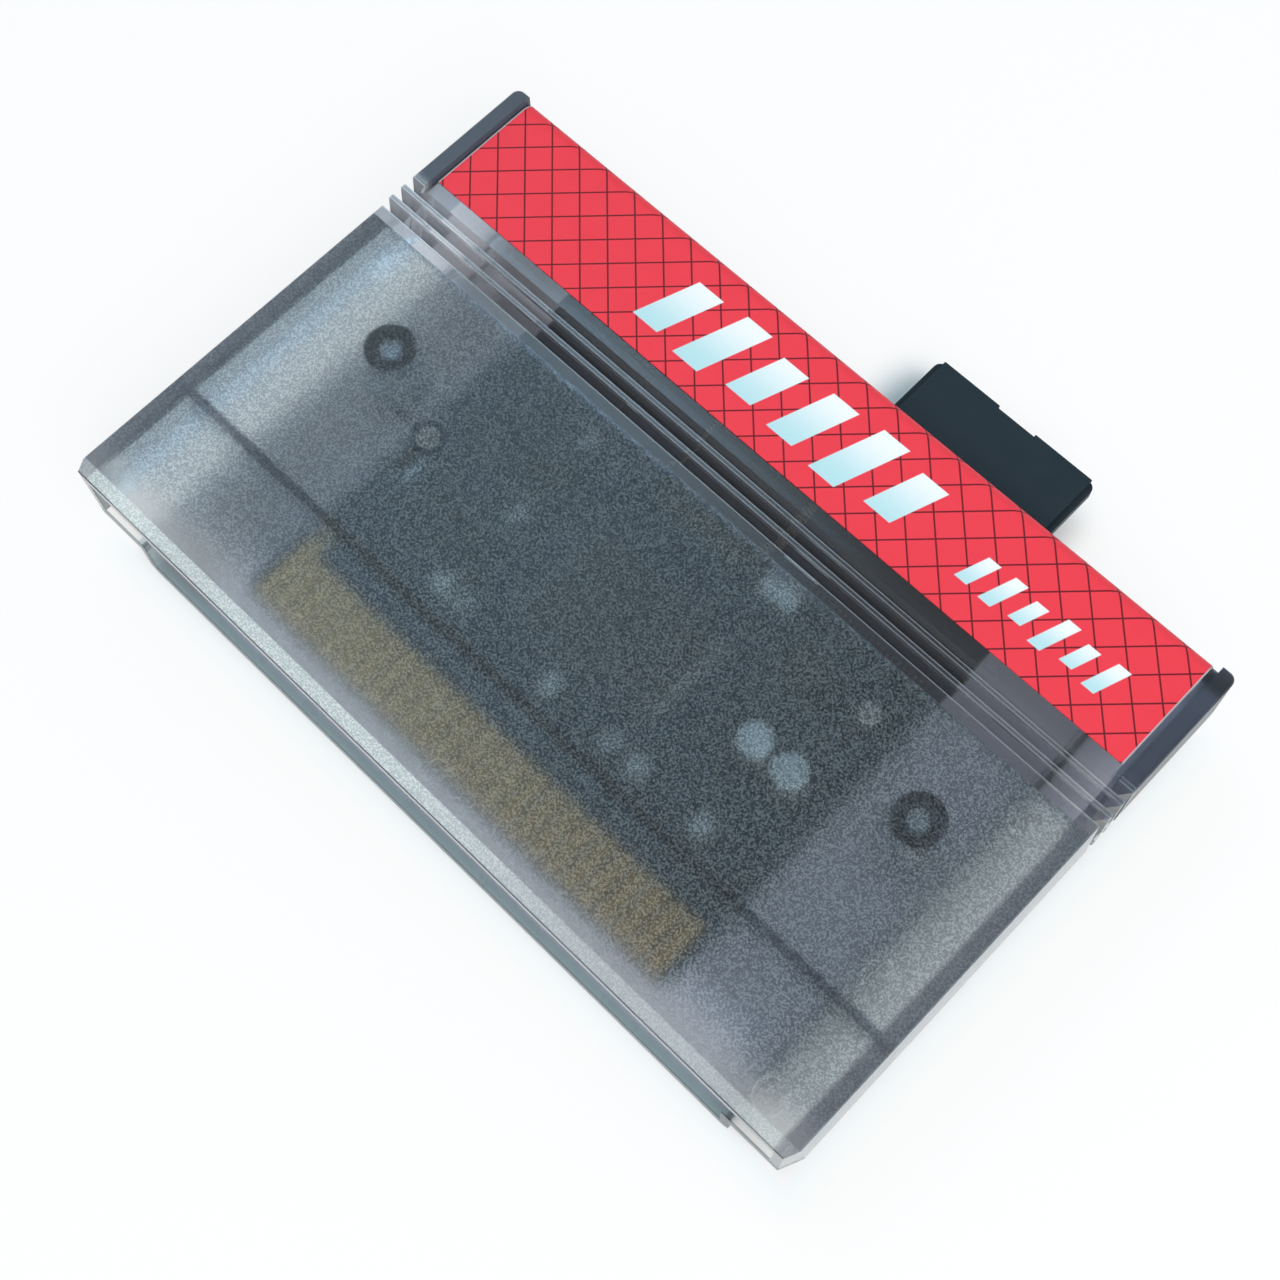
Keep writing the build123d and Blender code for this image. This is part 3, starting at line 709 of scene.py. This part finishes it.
        # Painted light near the bottom edge.
        body = graph.mix(graph.both(zones["edge"], self.edge_share), body, self.edge_light_tint)
        tints = {
            "lines": self.line_tint,
            # Painted light on the bevel.
            "bevel": graph.mix(specks, self.bevel_light_tint, self.bevel_tip_light_tint),
            # Painted shade over the side walls.
            "wall_shade": self.wall_shade_tint,
            "rib_shadow": self.wall_shade_tint,
            # Painted shade at the bosses and the left peg.
            "rings": self.ring_shade_tint,
            # Painted light on the inner side faces at the mouth.
            "jamb": self.jamb_light_tint,
        }
        for name, tint in tints.items():
            body = graph.mix(zones[name], body, tint)
        # Painted cool shade on the outer end and side faces.
        body = self.cool_edge_shade.cover(graph, body)
        tints = {
            # Painted shade on the rails, darker on the left.
            "rail": graph.mix(graph.ramp(x, *self.rail_sides), self.rail_shade_tint_left, self.rail_shade_tint),
            "step": self.step_tint,
            # Painted shade on the rib.
            "rib": self.rib_shade_tint,
            "lip": self.lip_tint,
        }
        for name, tint in tints.items():
            body = graph.mix(zones[name], body, tint)
        return body

    def build(self) -> bpy.types.Material:
        """Makes the material.

        Returns:
            The finished material.
        """
        graph = Graph(self.name)
        zones = self._zones(graph)
        pebbled = zones["pebbled"]
        pebble = graph.noise(self.pebble_mm, self.pebble_detail, self.pebble_mix)
        graph.bump(graph.both(graph.math("SUBTRACT", pebble, NOISE_MIDDLE), pebbled), self.pebble_depth_mm)
        zones["specks"] = graph.both(graph.ramp(pebble, *self.speck_levels), pebbled)
        rough = graph.ramp(pebbled, 0.0, 1.0, self.plain_roughness, self.pebble_roughness)
        extra = graph.both(zones["rail"], self.rail_roughness - self.plain_roughness)
        graph.set(Base_Color=self._colour(graph, zones), IOR=PLASTIC_IOR)
        graph.set(Roughness=graph.math("ADD", rough, extra))
        graph.set(Transmission_Weight=graph.without(self._haze(graph, zones)))
        self.tone.fill(graph)
        return graph.material


@dataclass(frozen=True)
class Moulding:
    """Opaque moulded, coated or plated surface with fine mottling and grain."""

    name: str
    colour: Colour
    roughness: float = 0.45
    mottle: float = 0.25
    grain_mm: float = 0.12
    grain_depth_mm: float = 0.004
    metallic: float = 0.0
    gloss: float = 0.25
    mottle_mm: float = 2.5
    mottle_detail: float = 3.0
    roughness_spread: float = 0.15
    grain_strength: float = 0.8

    def build(self) -> bpy.types.Material:
        """Makes the material.

        Returns:
            The finished material.
        """
        graph = Graph(self.name)
        cloud = graph.noise(self.mottle_mm, self.mottle_detail)
        dark = tuple(part * (1.0 - self.mottle) for part in self.colour)
        light = tuple(min(1.0, part * (1.0 + self.mottle)) for part in self.colour)
        graph.set(Base_Color=graph.mix(cloud, dark, light), Metallic=self.metallic)
        graph.set(Specular_IOR_Level=self.gloss)
        smooth = self.roughness * (1.0 - self.roughness_spread)
        rough = self.roughness * (1.0 + self.roughness_spread)
        graph.set(Roughness=graph.ramp(cloud, *NOISE_SPAN, smooth, rough))
        graph.bump(graph.noise(self.grain_mm), self.grain_depth_mm, self.grain_strength)
        return graph.material


@dataclass(frozen=True)
class BoardMask:
    """Dark solder mask with faint copper runs under it, and the bare laminate at the board's edge."""

    name: str = "board_mask"
    mask: Colour = (0.010, 0.030, 0.060)
    run: Colour = (0.020, 0.052, 0.092)
    edge: Colour = (0.10, 0.09, 0.06)
    run_pitch_mm: float = 1.27
    run_width_mm: float = 0.4
    run_depth_mm: float = 0.03
    run_strength: float = 0.5
    wander_mm: float = 9.0
    patch_mm: float = 7.0
    patch_levels: Span = (0.45, 0.55)
    roughness: Span = (0.38, 0.46)
    gloss: float = 0.15

    def build(self) -> bpy.types.Material:
        """Makes the material.

        Returns:
            The finished material.
        """
        graph = Graph(self.name)
        x, _, z = graph.place()
        wander = graph.math("MULTIPLY", graph.noise(self.wander_mm, 0.0), self.wander_mm)
        across = graph.math("PINGPONG", graph.math("ADD", x, wander), self.run_pitch_mm / 2)
        half = self.run_width_mm / 2
        run = graph.ramp(across, half - KEEN_MM, half + KEEN_MM, 1.0, 0.0)
        patch = graph.ramp(graph.noise(self.patch_mm, 1.0), *self.patch_levels)
        face = graph.mix(graph.both(run, patch), self.mask, self.run)
        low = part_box("circuit_board")[0][2] / MM
        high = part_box("circuit_board")[1][2] / MM
        side = graph.within(z, low + KEEN_MM, high - KEEN_MM, CRISP_MM)
        graph.set(Base_Color=graph.mix(side, face, self.edge))
        graph.set(Roughness=graph.ramp(patch, 0.0, 1.0, *self.roughness), Specular_IOR_Level=self.gloss)
        graph.bump(run, self.run_depth_mm, self.run_strength)
        return graph.material


@dataclass(frozen=True)
class BarRow:
    """Row of slanted bars printed on the label; lengths in millimetres, y from the shell's middle.

    The bars' heights vary about the given one, along a sine with the given beat.
    """

    start: float
    pitch: float
    width: float
    count: int
    middle: float
    tall: float
    vary: float
    beat: float


@dataclass(frozen=True)
class LabelPrint:
    """Red print with a thin lattice and two rows of slanted bars, and a bare paper edge at each end."""

    name: str = "label_print"
    red: Colour = (0.91, 0.057, 0.083)
    deep_red: Colour = (0.85, 0.049, 0.073)
    red_mm: float = 3.0
    red_detail: float = 3.0
    line: Colour = (0.16, 0.012, 0.02)
    white: Colour = (0.93, 0.97, 0.98)
    cyan: Colour = (0.50, 0.78, 0.83)
    paper: Colour = (0.50, 0.44, 0.47)
    paper_mm: float = 0.12
    lattice_mm: float = 4.6
    line_mm: float = 0.28
    line_ends: Span = (0.35, 0.65)
    slant: float = 0.35
    bar_inset_mm: float = 0.15
    bar_soft_mm: float = 0.08
    bend_mm: float = 1.65
    gloss: float = 0.2
    sheen_mm: float = 0.4
    roughness: Span = (0.45, 0.55)
    grain_mm: float = 0.25
    grain_depth_mm: float = 0.004
    grain_strength: float = 0.6
    rows: Tuple[BarRow, ...] = (
        BarRow(start=-22.0, pitch=7.0, width=4.0, count=6, middle=26.8, tall=8.2, vary=1.2, beat=2.1),
        BarRow(start=25.5, pitch=3.6, width=1.9, count=6, middle=25.6, tall=4.2, vary=0.8, beat=2.6),
    )

    def _unrolled(self, graph: Graph) -> Socket:
        """Place up the label along its own surface: y on the flat, and arc length round the bend.

        Args:
            graph: The material's tree.

        Returns:
            Output socket in millimetres.
        """
        _, y, z = graph.place()
        _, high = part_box("label")
        start = high[1] / MM - self.bend_mm
        past = graph.math("MAXIMUM", graph.math("SUBTRACT", y, start), 0.0)
        above = graph.math("SUBTRACT", z, high[2] / MM - self.bend_mm)
        arc = graph.math("MULTIPLY", graph.math("ARCTAN2", past, above), self.bend_mm)
        return graph.math("ADD", graph.math("MINIMUM", y, start), arc)

    def _lattice(self, graph: Graph, x: Socket, y: Socket) -> Socket:
        """Thin lines along both diagonals: near a multiple of the pitch in x+y or x-y.

        Args:
            graph: The material's tree.
            x: Place across the label.
            y: Place up the label.

        Returns:
            Mask of the lines.
        """
        start, end = (self.line_mm * part for part in self.line_ends)
        masks = []
        for operation in ("ADD", "SUBTRACT"):
            diagonal = graph.math(operation, x, y)
            distance = graph.math("PINGPONG", diagonal, self.lattice_mm / 2)
            masks.append(graph.ramp(distance, start, end, 1.0, 0.0))
        return graph.either(*masks)

    def _bars(self, graph: Graph, x: Socket, y: Socket, row: BarRow) -> Socket:
        """Slanted bars: x leans with y, repeats at the pitch, and each bar has its own height.

        Args:
            graph: The material's tree.
            x: Place across the label.
            y: Place up the label.
            row: Sizes of the row.

        Returns:
            Mask of the bars.
        """
        soft = self.bar_soft_mm
        up = graph.math("SUBTRACT", y, row.middle)
        lean = graph.math("SUBTRACT", x, graph.math("MULTIPLY", up, self.slant))
        along = graph.math("SUBTRACT", lean, row.start)
        step = graph.math("DIVIDE", along, row.pitch)
        index = graph.math("FLOOR", step)
        inside = graph.math("MULTIPLY", graph.math("SUBTRACT", step, index), row.pitch)
        bar = graph.within(inside, self.bar_inset_mm, row.width, soft)
        span = graph.within(along, 0.0, row.pitch * row.count, CRISP_MM)
        wave = graph.math("SINE", graph.math("MULTIPLY", index, row.beat))
        half = graph.math("ADD", graph.math("MULTIPLY", wave, row.vary / 2), row.tall / 2)
        over = graph.math("SUBTRACT", graph.math("ABSOLUTE", up), half)
        return graph.both(bar, span, graph.ramp(over, -soft, soft, 1.0, 0.0))

    def build(self) -> bpy.types.Material:
        """Makes the material.

        Returns:
            The finished material.
        """
        graph = Graph(self.name)
        x, _, _ = graph.place()
        y = self._unrolled(graph)
        low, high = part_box("label")
        ink = graph.mix(graph.noise(self.red_mm, self.red_detail), self.red, self.deep_red)
        ink = graph.mix(self._lattice(graph, x, y), ink, self.line)
        for row in self.rows:
            fade = graph.ramp(y, row.middle - row.tall / 2, row.middle + row.tall / 2)
            pale = graph.mix(fade, self.cyan, self.white)
            ink = graph.mix(self._bars(graph, x, y, row), ink, pale)
        first = low[0] / MM + self.paper_mm
        last = high[0] / MM - self.paper_mm
        left = graph.ramp(x, first, first + SOFT_MM, 1.0, 0.0)
        right = graph.ramp(x, last - SOFT_MM, last)
        ink = graph.mix(graph.either(left, right), ink, self.paper)
        graph.set(Base_Color=ink, Specular_IOR_Level=self.gloss)
        graph.set(Roughness=graph.ramp(graph.noise(self.sheen_mm), *NOISE_SPAN, *self.roughness))
        graph.bump(graph.noise(self.grain_mm), self.grain_depth_mm, self.grain_strength)
        return graph.material


@dataclass(frozen=True)
class CanTop:
    """Bright drawn metal can."""

    name: str = "can_aluminium"
    metal: Colour = (0.86, 0.90, 0.88)
    dull_share: float = 0.93
    metallic: float = 0.6
    cloud_mm: float = 0.8
    roughness: Span = (0.32, 0.45)
    grain_mm: float = 0.2
    grain_detail: float = 1.0
    grain_depth_mm: float = 0.003
    grain_strength: float = 0.5

    def build(self) -> bpy.types.Material:
        """Makes the material.

        Returns:
            The finished material.
        """
        graph = Graph(self.name)
        cloud = graph.noise(self.cloud_mm)
        dull = tuple(part * self.dull_share for part in self.metal)
        graph.set(Base_Color=graph.mix(cloud, dull, self.metal), Metallic=self.metallic)
        graph.set(Roughness=graph.ramp(cloud, *NOISE_SPAN, *self.roughness))
        grain = graph.noise(self.grain_mm, self.grain_detail)
        graph.bump(grain, self.grain_depth_mm, self.grain_strength)
        return graph.material


def dress(material: bpy.types.Material, nodes: Sequence[str]) -> None:
    """Gives CAD nodes a material.

    Args:
        material: The material.
        nodes: Names of the nodes.
    """
    for name in nodes:
        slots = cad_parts[name].data.materials
        slots.clear()
        slots.append(material)
        LOG.info("dressed %s with %s", name, material.name)


@dataclass
class Shell:
    """The two see-through halves."""

    front: SmokeFront = SmokeFront()
    rear: SmokeRear = SmokeRear()

    def build(self) -> None:
        """Dresses both halves."""
        dress(self.front.build(), ["front_shell"])
        dress(self.rear.build(), ["rear_shell"])


@dataclass
class LabelSheet:
    """The paper label."""

    ink: LabelPrint = LabelPrint()

    def build(self) -> None:
        """Dresses the label."""
        dress(self.ink.build(), ["label"])


@dataclass
class Board:
    """The circuit board and what is soldered to it, the socket, all gold contacts and the screws."""

    mask: BoardMask = BoardMask()
    can: CanTop = CanTop()
    gold: Moulding = Moulding(
        "gold", (1.0, 0.53, 0.18), 0.42, mottle=0.1, grain_mm=0.1, grain_depth_mm=0.003, metallic=0.85
    )
    tin: Moulding = Moulding(
        "lead_tin", (0.92, 0.92, 0.88), 0.5, mottle=0.05, grain_mm=0.1, grain_depth_mm=0.002, metallic=0.1
    )
    warm_tin: Moulding = Moulding(
        "lead_warm", (0.42, 0.38, 0.30), 0.5, mottle=0.1, grain_mm=0.1, grain_depth_mm=0.002, metallic=0.1
    )
    dull_tin: Moulding = Moulding(
        "lead_dull", (0.16, 0.16, 0.155), 0.45, mottle=0.1, grain_mm=0.1, grain_depth_mm=0.002, metallic=0.9
    )
    black: Moulding = Moulding("package_black", (0.010, 0.015, 0.022), 0.5)
    pale: Moulding = Moulding("pale_ceramic", (0.62, 0.67, 0.67), 0.4, mottle=0.1)
    steel: Moulding = Moulding(
        "socket_steel", (0.66, 0.67, 0.68), 0.3, mottle=0.08, grain_mm=0.2, grain_depth_mm=0.002,
        metallic=0.95,
    )
    screw: Moulding = Moulding(
        "screw_steel", (0.75, 0.77, 0.78), 0.4, mottle=0.1, grain_mm=0.1, grain_depth_mm=0.002, metallic=0.6
    )
    frame_plastic: Moulding = Moulding("socket_plastic", (0.02, 0.02, 0.022), 0.5)

    def build(self) -> None:
        """Dresses the board, its contacts and its packages."""
        dress(self.mask.build(), ["circuit_board"])
        gold = ["edge_contacts_front", "edge_contacts_rear", "socket_springs", "card_contacts"]
        dress(self.gold.build(), gold)
        dress(self.tin.build(), ["flash_chip_leads"])
        dress(self.warm_tin.build(), ["logic_chip_leads"])
        dull = ["ram_chip_leads", "buffer_chip_leads", "config_chip_leads", "regulator_leads"]
        dress(self.dull_tin.build(), dull + ["capacitor_ends", "resistor_ends"])
        black = ["flash_chip", "logic_chip", "ram_chip", "buffer_chips", "config_chip"]
        black += ["voltage_regulator", "chip_resistors", "capacitor_bases"]
        dress(self.black.build(), black)
        dress(self.can.build(), ["capacitor_cans", "oscillator_lid"])
        dress(self.pale.build(), ["ceramic_capacitors", "oscillator_base"])
        dress(self.steel.build(), ["socket_cover"])
        dress(self.screw.build(), ["shell_screws"])
        dress(self.frame_plastic.build(), ["socket_frame"])


@dataclass
class MemoryCard:
    """The card in the label end."""

    case: Moulding = Moulding("card_plastic", (0.015, 0.027, 0.037), 0.5, mottle=0.12, grain_depth_mm=0.02)
    tab: Moulding = Moulding("card_grey", (0.45, 0.46, 0.47), 0.5)

    def build(self) -> None:
        """Dresses the card and its lock tab."""
        dress(self.case.build(), ["card_case"])
        dress(self.tab.build(), ["card_lock_tab"])


@dataclass(frozen=True)
class Lobe:
    """Part of the sky about one direction, where the light goes from one strength to another.

    Start and full are cosines of the angle from that direction.
    """

    toward: Vector3
    start: float
    full: float
    outside: float
    inside: float
    colour: Colour


@dataclass
class Studio:
    """Pale floor, soft light from all round and the camera of the photograph.

    Lengths of the floor's zones are millimetres, counted from the shell or from the card.
    """

    eye_mm: Vector3 = (60.03, -57.45, 211.98)
    right: Vector3 = (0.71615216, 0.6977882, -0.01475498)
    down: Vector3 = (0.64809253, -0.67269767, -0.35700688)
    ahead: Vector3 = (-0.25904083, 0.24610866, -0.93398521)
    lens_mm: float = 54.755
    sensor_mm: float = 36.0
    clip_start: float = 0.01

    floor_half: float = 3.0
    floor_drop_mm: float = 0.1
    floor_colour: Colour = (0.93, 0.97, 0.975)
    floor_mottle: float = 0.995
    floor_mottle_mm: float = 60.0
    floor_roughness: float = 0.9
    white: Colour = (1.0, 1.0, 1.0)
    white_share: float = 0.8
    # Painted cool shade on the floor close to the shell.
    cool_shade_colour: Colour = (0.93, 0.985, 1.0)
    cool_shade_reach: float = 2.5
    cool_shade_inset: float = 2.0
    cool_shade_soft: float = 2.0
    shaded_share: float = 0.18
    shade_inset: float = 4.5
    shade_soft: float = 2.0
    # Painted light: a band of the floor under the shell's connector end.
    lit_band: Span = (4.5, 9.5)
    lit_fade: Span = (40.0, 46.0)
    lit_share: float = 0.6
    card_share: float = 0.0
    card_left: float = 5.0
    card_past: float = 1.0
    card_back: float = 2.0
    card_soft: float = 4.0

    ceiling: Lobe = Lobe(
        toward=(-0.08, 0.2, 0.97), start=0.78, full=0.95, outside=0.52, inside=0.14, colour=(0.92, 1.0, 1.02)
    )
    window: Lobe = Lobe(
        toward=(-0.50, 0.18, 0.85), start=0.93, full=0.985, outside=0.0, inside=2.7, colour=(0.56, 0.82, 1.0)
    )
    lamp_mm: Vector3 = (560.0, -260.0, 760.0)
    lamp_size: float = 0.6
    lamp_power: float = 6.6
    lamp_colour: Colour = (1.0, 0.93, 0.91)

    @staticmethod
    def _extent(box: Sequence[Sequence[float]]) -> Tuple[float, float, float, float]:
        """Limits of a box in the plane of the floor.

        Args:
            box: Lower and upper corner in metres.

        Returns:
            Left, right, low and high in millimetres.
        """
        (left, low, _), (right, high, _) = box
        return left / MM, right / MM, low / MM, high / MM

    def _sheet(self) -> bpy.types.Object:
        """Flat square just under the object.

        Returns:
            The sheet, without a material.
        """
        half = self.floor_half
        z = -self.floor_drop_mm * MM
        corners = [(-half, -half, z), (half, -half, z), (half, half, z), (-half, half, z)]
        mesh = bpy.data.meshes.new("floor")
        mesh.from_pydata(corners, [], [(0, 1, 2, 3)])
        sheet = bpy.data.objects.new("floor", mesh)
        bpy.context.scene.collection.objects.link(sheet)
        return sheet

    def _floor_glow(self, graph: Graph) -> Socket:
        """White, with a painted cool shade close to the shell at its right side and its connector end.

        Args:
            graph: The floor's tree.

        Returns:
            Colour socket.
        """
        x, y, _ = graph.place()
        left, right, low, high = self._extent(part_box("rear_shell"))
        inside = graph.both(graph.within(x, left, right, SOFT_MM), graph.within(y, low, high, SOFT_MM))
        across = graph.within(x, left + self.cool_shade_inset, right + self.cool_shade_reach, self.cool_shade_soft)
        along = graph.within(y, low - self.cool_shade_reach, high, self.cool_shade_soft)
        # Painted cool shade: a cooler white in a band round the shell's right side and connector end.
        near = graph.both(across, along, graph.without(inside))
        return graph.mix(near, self.white, self.cool_shade_colour)

    def _floor_share(self, graph: Graph) -> Socket:
        """Share of the white that shows: less under the shell, more in a band of painted light under its
        connector end, and none beside the card.

        Args:
            graph: The floor's tree.

        Returns:
            Output socket between 0 and 1.
        """
        x, y, _ = graph.place()
        left, right, low, high = self._extent(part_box("rear_shell"))
        across = graph.within(x, left + self.shade_inset, right, self.shade_soft)
        under = graph.both(across, graph.within(y, low, high, self.shade_soft))
        # Painted light: more white shows in this band under the shell, in place of light let through the
        # shell.
        start, end = (low + part for part in self.lit_band)
        lit = graph.both(graph.within(y, start, end, self.shade_soft), self.lit_share)
        lit = graph.both(lit, graph.ramp(x, *self.lit_fade, 1.0, 0.0))
        under = graph.both(under, graph.without(lit))
        near, far, _, tip = self._extent(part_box("card_case"))
        across = graph.within(x, near - self.card_left, far + self.card_past, self.card_soft)
        along = graph.within(y, high - self.card_back, tip + self.card_past, self.card_soft)
        beside = graph.ramp(graph.both(across, along), 0.0, 1.0, self.white_share, self.card_share)
        shaded = graph.ramp(under, 0.0, 1.0, self.white_share, self.shaded_share)
        return graph.math("MINIMUM", beside, shaded)

    def _floor(self) -> None:
        """Pale paper floor that looks white to the camera, in reflections and through the shell."""
        floor = self._sheet()
        graph = Graph("floor_paper")
        pale = tuple(part * self.floor_mottle for part in self.floor_colour)
        graph.set(Base_Color=graph.mix(graph.noise(self.floor_mottle_mm), self.floor_colour, pale))
        graph.set(Roughness=self.floor_roughness, Specular_IOR_Level=0.0)
        rays = graph.node("ShaderNodeLightPath")
        seen = graph.either(*(rays.outputs[ray.value] for ray in Ray))
        glow = graph.node("ShaderNodeEmission")
        graph.feed(glow.inputs["Color"], self._floor_glow(graph))
        blend = graph.node("ShaderNodeMixShader")
        graph.feed(blend.inputs[0], graph.both(seen, self._floor_share(graph)))
        graph.link(graph.shader.outputs["BSDF"], blend.inputs[1])
        graph.link(glow.outputs["Emission"], blend.inputs[2])
        graph.link(blend.outputs["Shader"], graph.output.inputs["Surface"])
        floor.data.materials.append(graph.material)

    def _sky(self) -> None:
        """Even light from all round, dimmer overhead, with one soft bright window toward the far left."""
        world = bpy.data.worlds.new("studio")
        bpy.context.scene.world = world
        world.use_nodes = True
        tree = world.node_tree
        tree.nodes.clear()
        coords = tree.nodes.new("ShaderNodeTexCoord")
        total = tree.nodes.new("ShaderNodeAddShader")
        for index, lobe in enumerate((self.ceiling, self.window)):
            dot = tree.nodes.new("ShaderNodeVectorMath")
            dot.operation = "DOT_PRODUCT"
            dot.inputs[1].default_value = (np.array(lobe.toward) / np.linalg.norm(lobe.toward)).tolist()
            tree.links.new(coords.outputs["Generated"], dot.inputs[0])
            step = tree.nodes.new("ShaderNodeMapRange")
            step.interpolation_type = "SMOOTHSTEP"
            step.inputs["From Min"].default_value = lobe.start
            step.inputs["From Max"].default_value = lobe.full
            step.inputs["To Min"].default_value = lobe.outside
            step.inputs["To Max"].default_value = lobe.inside
            tree.links.new(dot.outputs["Value"], step.inputs["Value"])
            light = tree.nodes.new("ShaderNodeBackground")
            light.inputs["Color"].default_value = (*lobe.colour, 1.0)
            tree.links.new(step.outputs["Result"], light.inputs["Strength"])
            tree.links.new(light.outputs["Background"], total.inputs[index])
        out = tree.nodes.new("ShaderNodeOutputWorld")
        tree.links.new(total.outputs[0], out.inputs["Surface"])

    def _lamp(self) -> None:
        """Large soft lamp on the right, aimed at the middle of the object."""
        data = bpy.data.lights.new("soft_lamp", "AREA")
        data.size = self.lamp_size
        data.energy = self.lamp_power
        data.color = self.lamp_colour
        lamp = bpy.data.objects.new("soft_lamp", data)
        bpy.context.scene.collection.objects.link(lamp)
        away = np.array(self.lamp_mm) / np.linalg.norm(self.lamp_mm)
        across = np.cross((0.0, 1.0, 0.0), away)
        across /= np.linalg.norm(across)
        up = np.cross(away, across)
        lamp.matrix_world = self._pose(across, up, away, self.lamp_mm)

    @staticmethod
    def _pose(
        right: Sequence[float], up: Sequence[float], back: Sequence[float], at_mm: Sequence[float]
    ) -> Matrix:
        """Matrix of an object with the given axes.

        Args:
            right: Direction of its x axis.
            up: Direction of its y axis.
            back: Direction of its z axis.
            at_mm: Place in millimetres.

        Returns:
            The 4 by 4 matrix.
        """
        place = np.eye(4)
        place[:3, 0] = right
        place[:3, 1] = up
        place[:3, 2] = back
        place[:3, 3] = np.array(at_mm) * MM
        return Matrix(place.tolist())

    def _camera(self) -> None:
        """Camera where the photograph was taken from."""
        data = bpy.data.cameras.new("camera")
        data.lens = self.lens_mm
        data.sensor_width = self.sensor_mm
        data.sensor_height = self.sensor_mm
        data.clip_start = self.clip_start
        camera = bpy.data.objects.new("camera", data)
        bpy.context.scene.collection.objects.link(camera)
        up = [-part for part in self.down]
        back = [-part for part in self.ahead]
        camera.matrix_world = self._pose(self.right, up, back, self.eye_mm)
        bpy.context.scene.camera = camera

    def build(self) -> None:
        """Sets the stage."""
        bpy.context.scene.view_settings.view_transform = "Standard"
        self._floor()
        self._sky()
        self._lamp()
        self._camera()


def main() -> None:
    """Builds the classes in order."""
    logging.basicConfig(level=logging.INFO)
    for piece in (Shell(), LabelSheet(), Board(), MemoryCard(), Studio()):
        piece.build()
        LOG.info("built %s", type(piece).__name__)


if __name__ == "__main__":
    main()
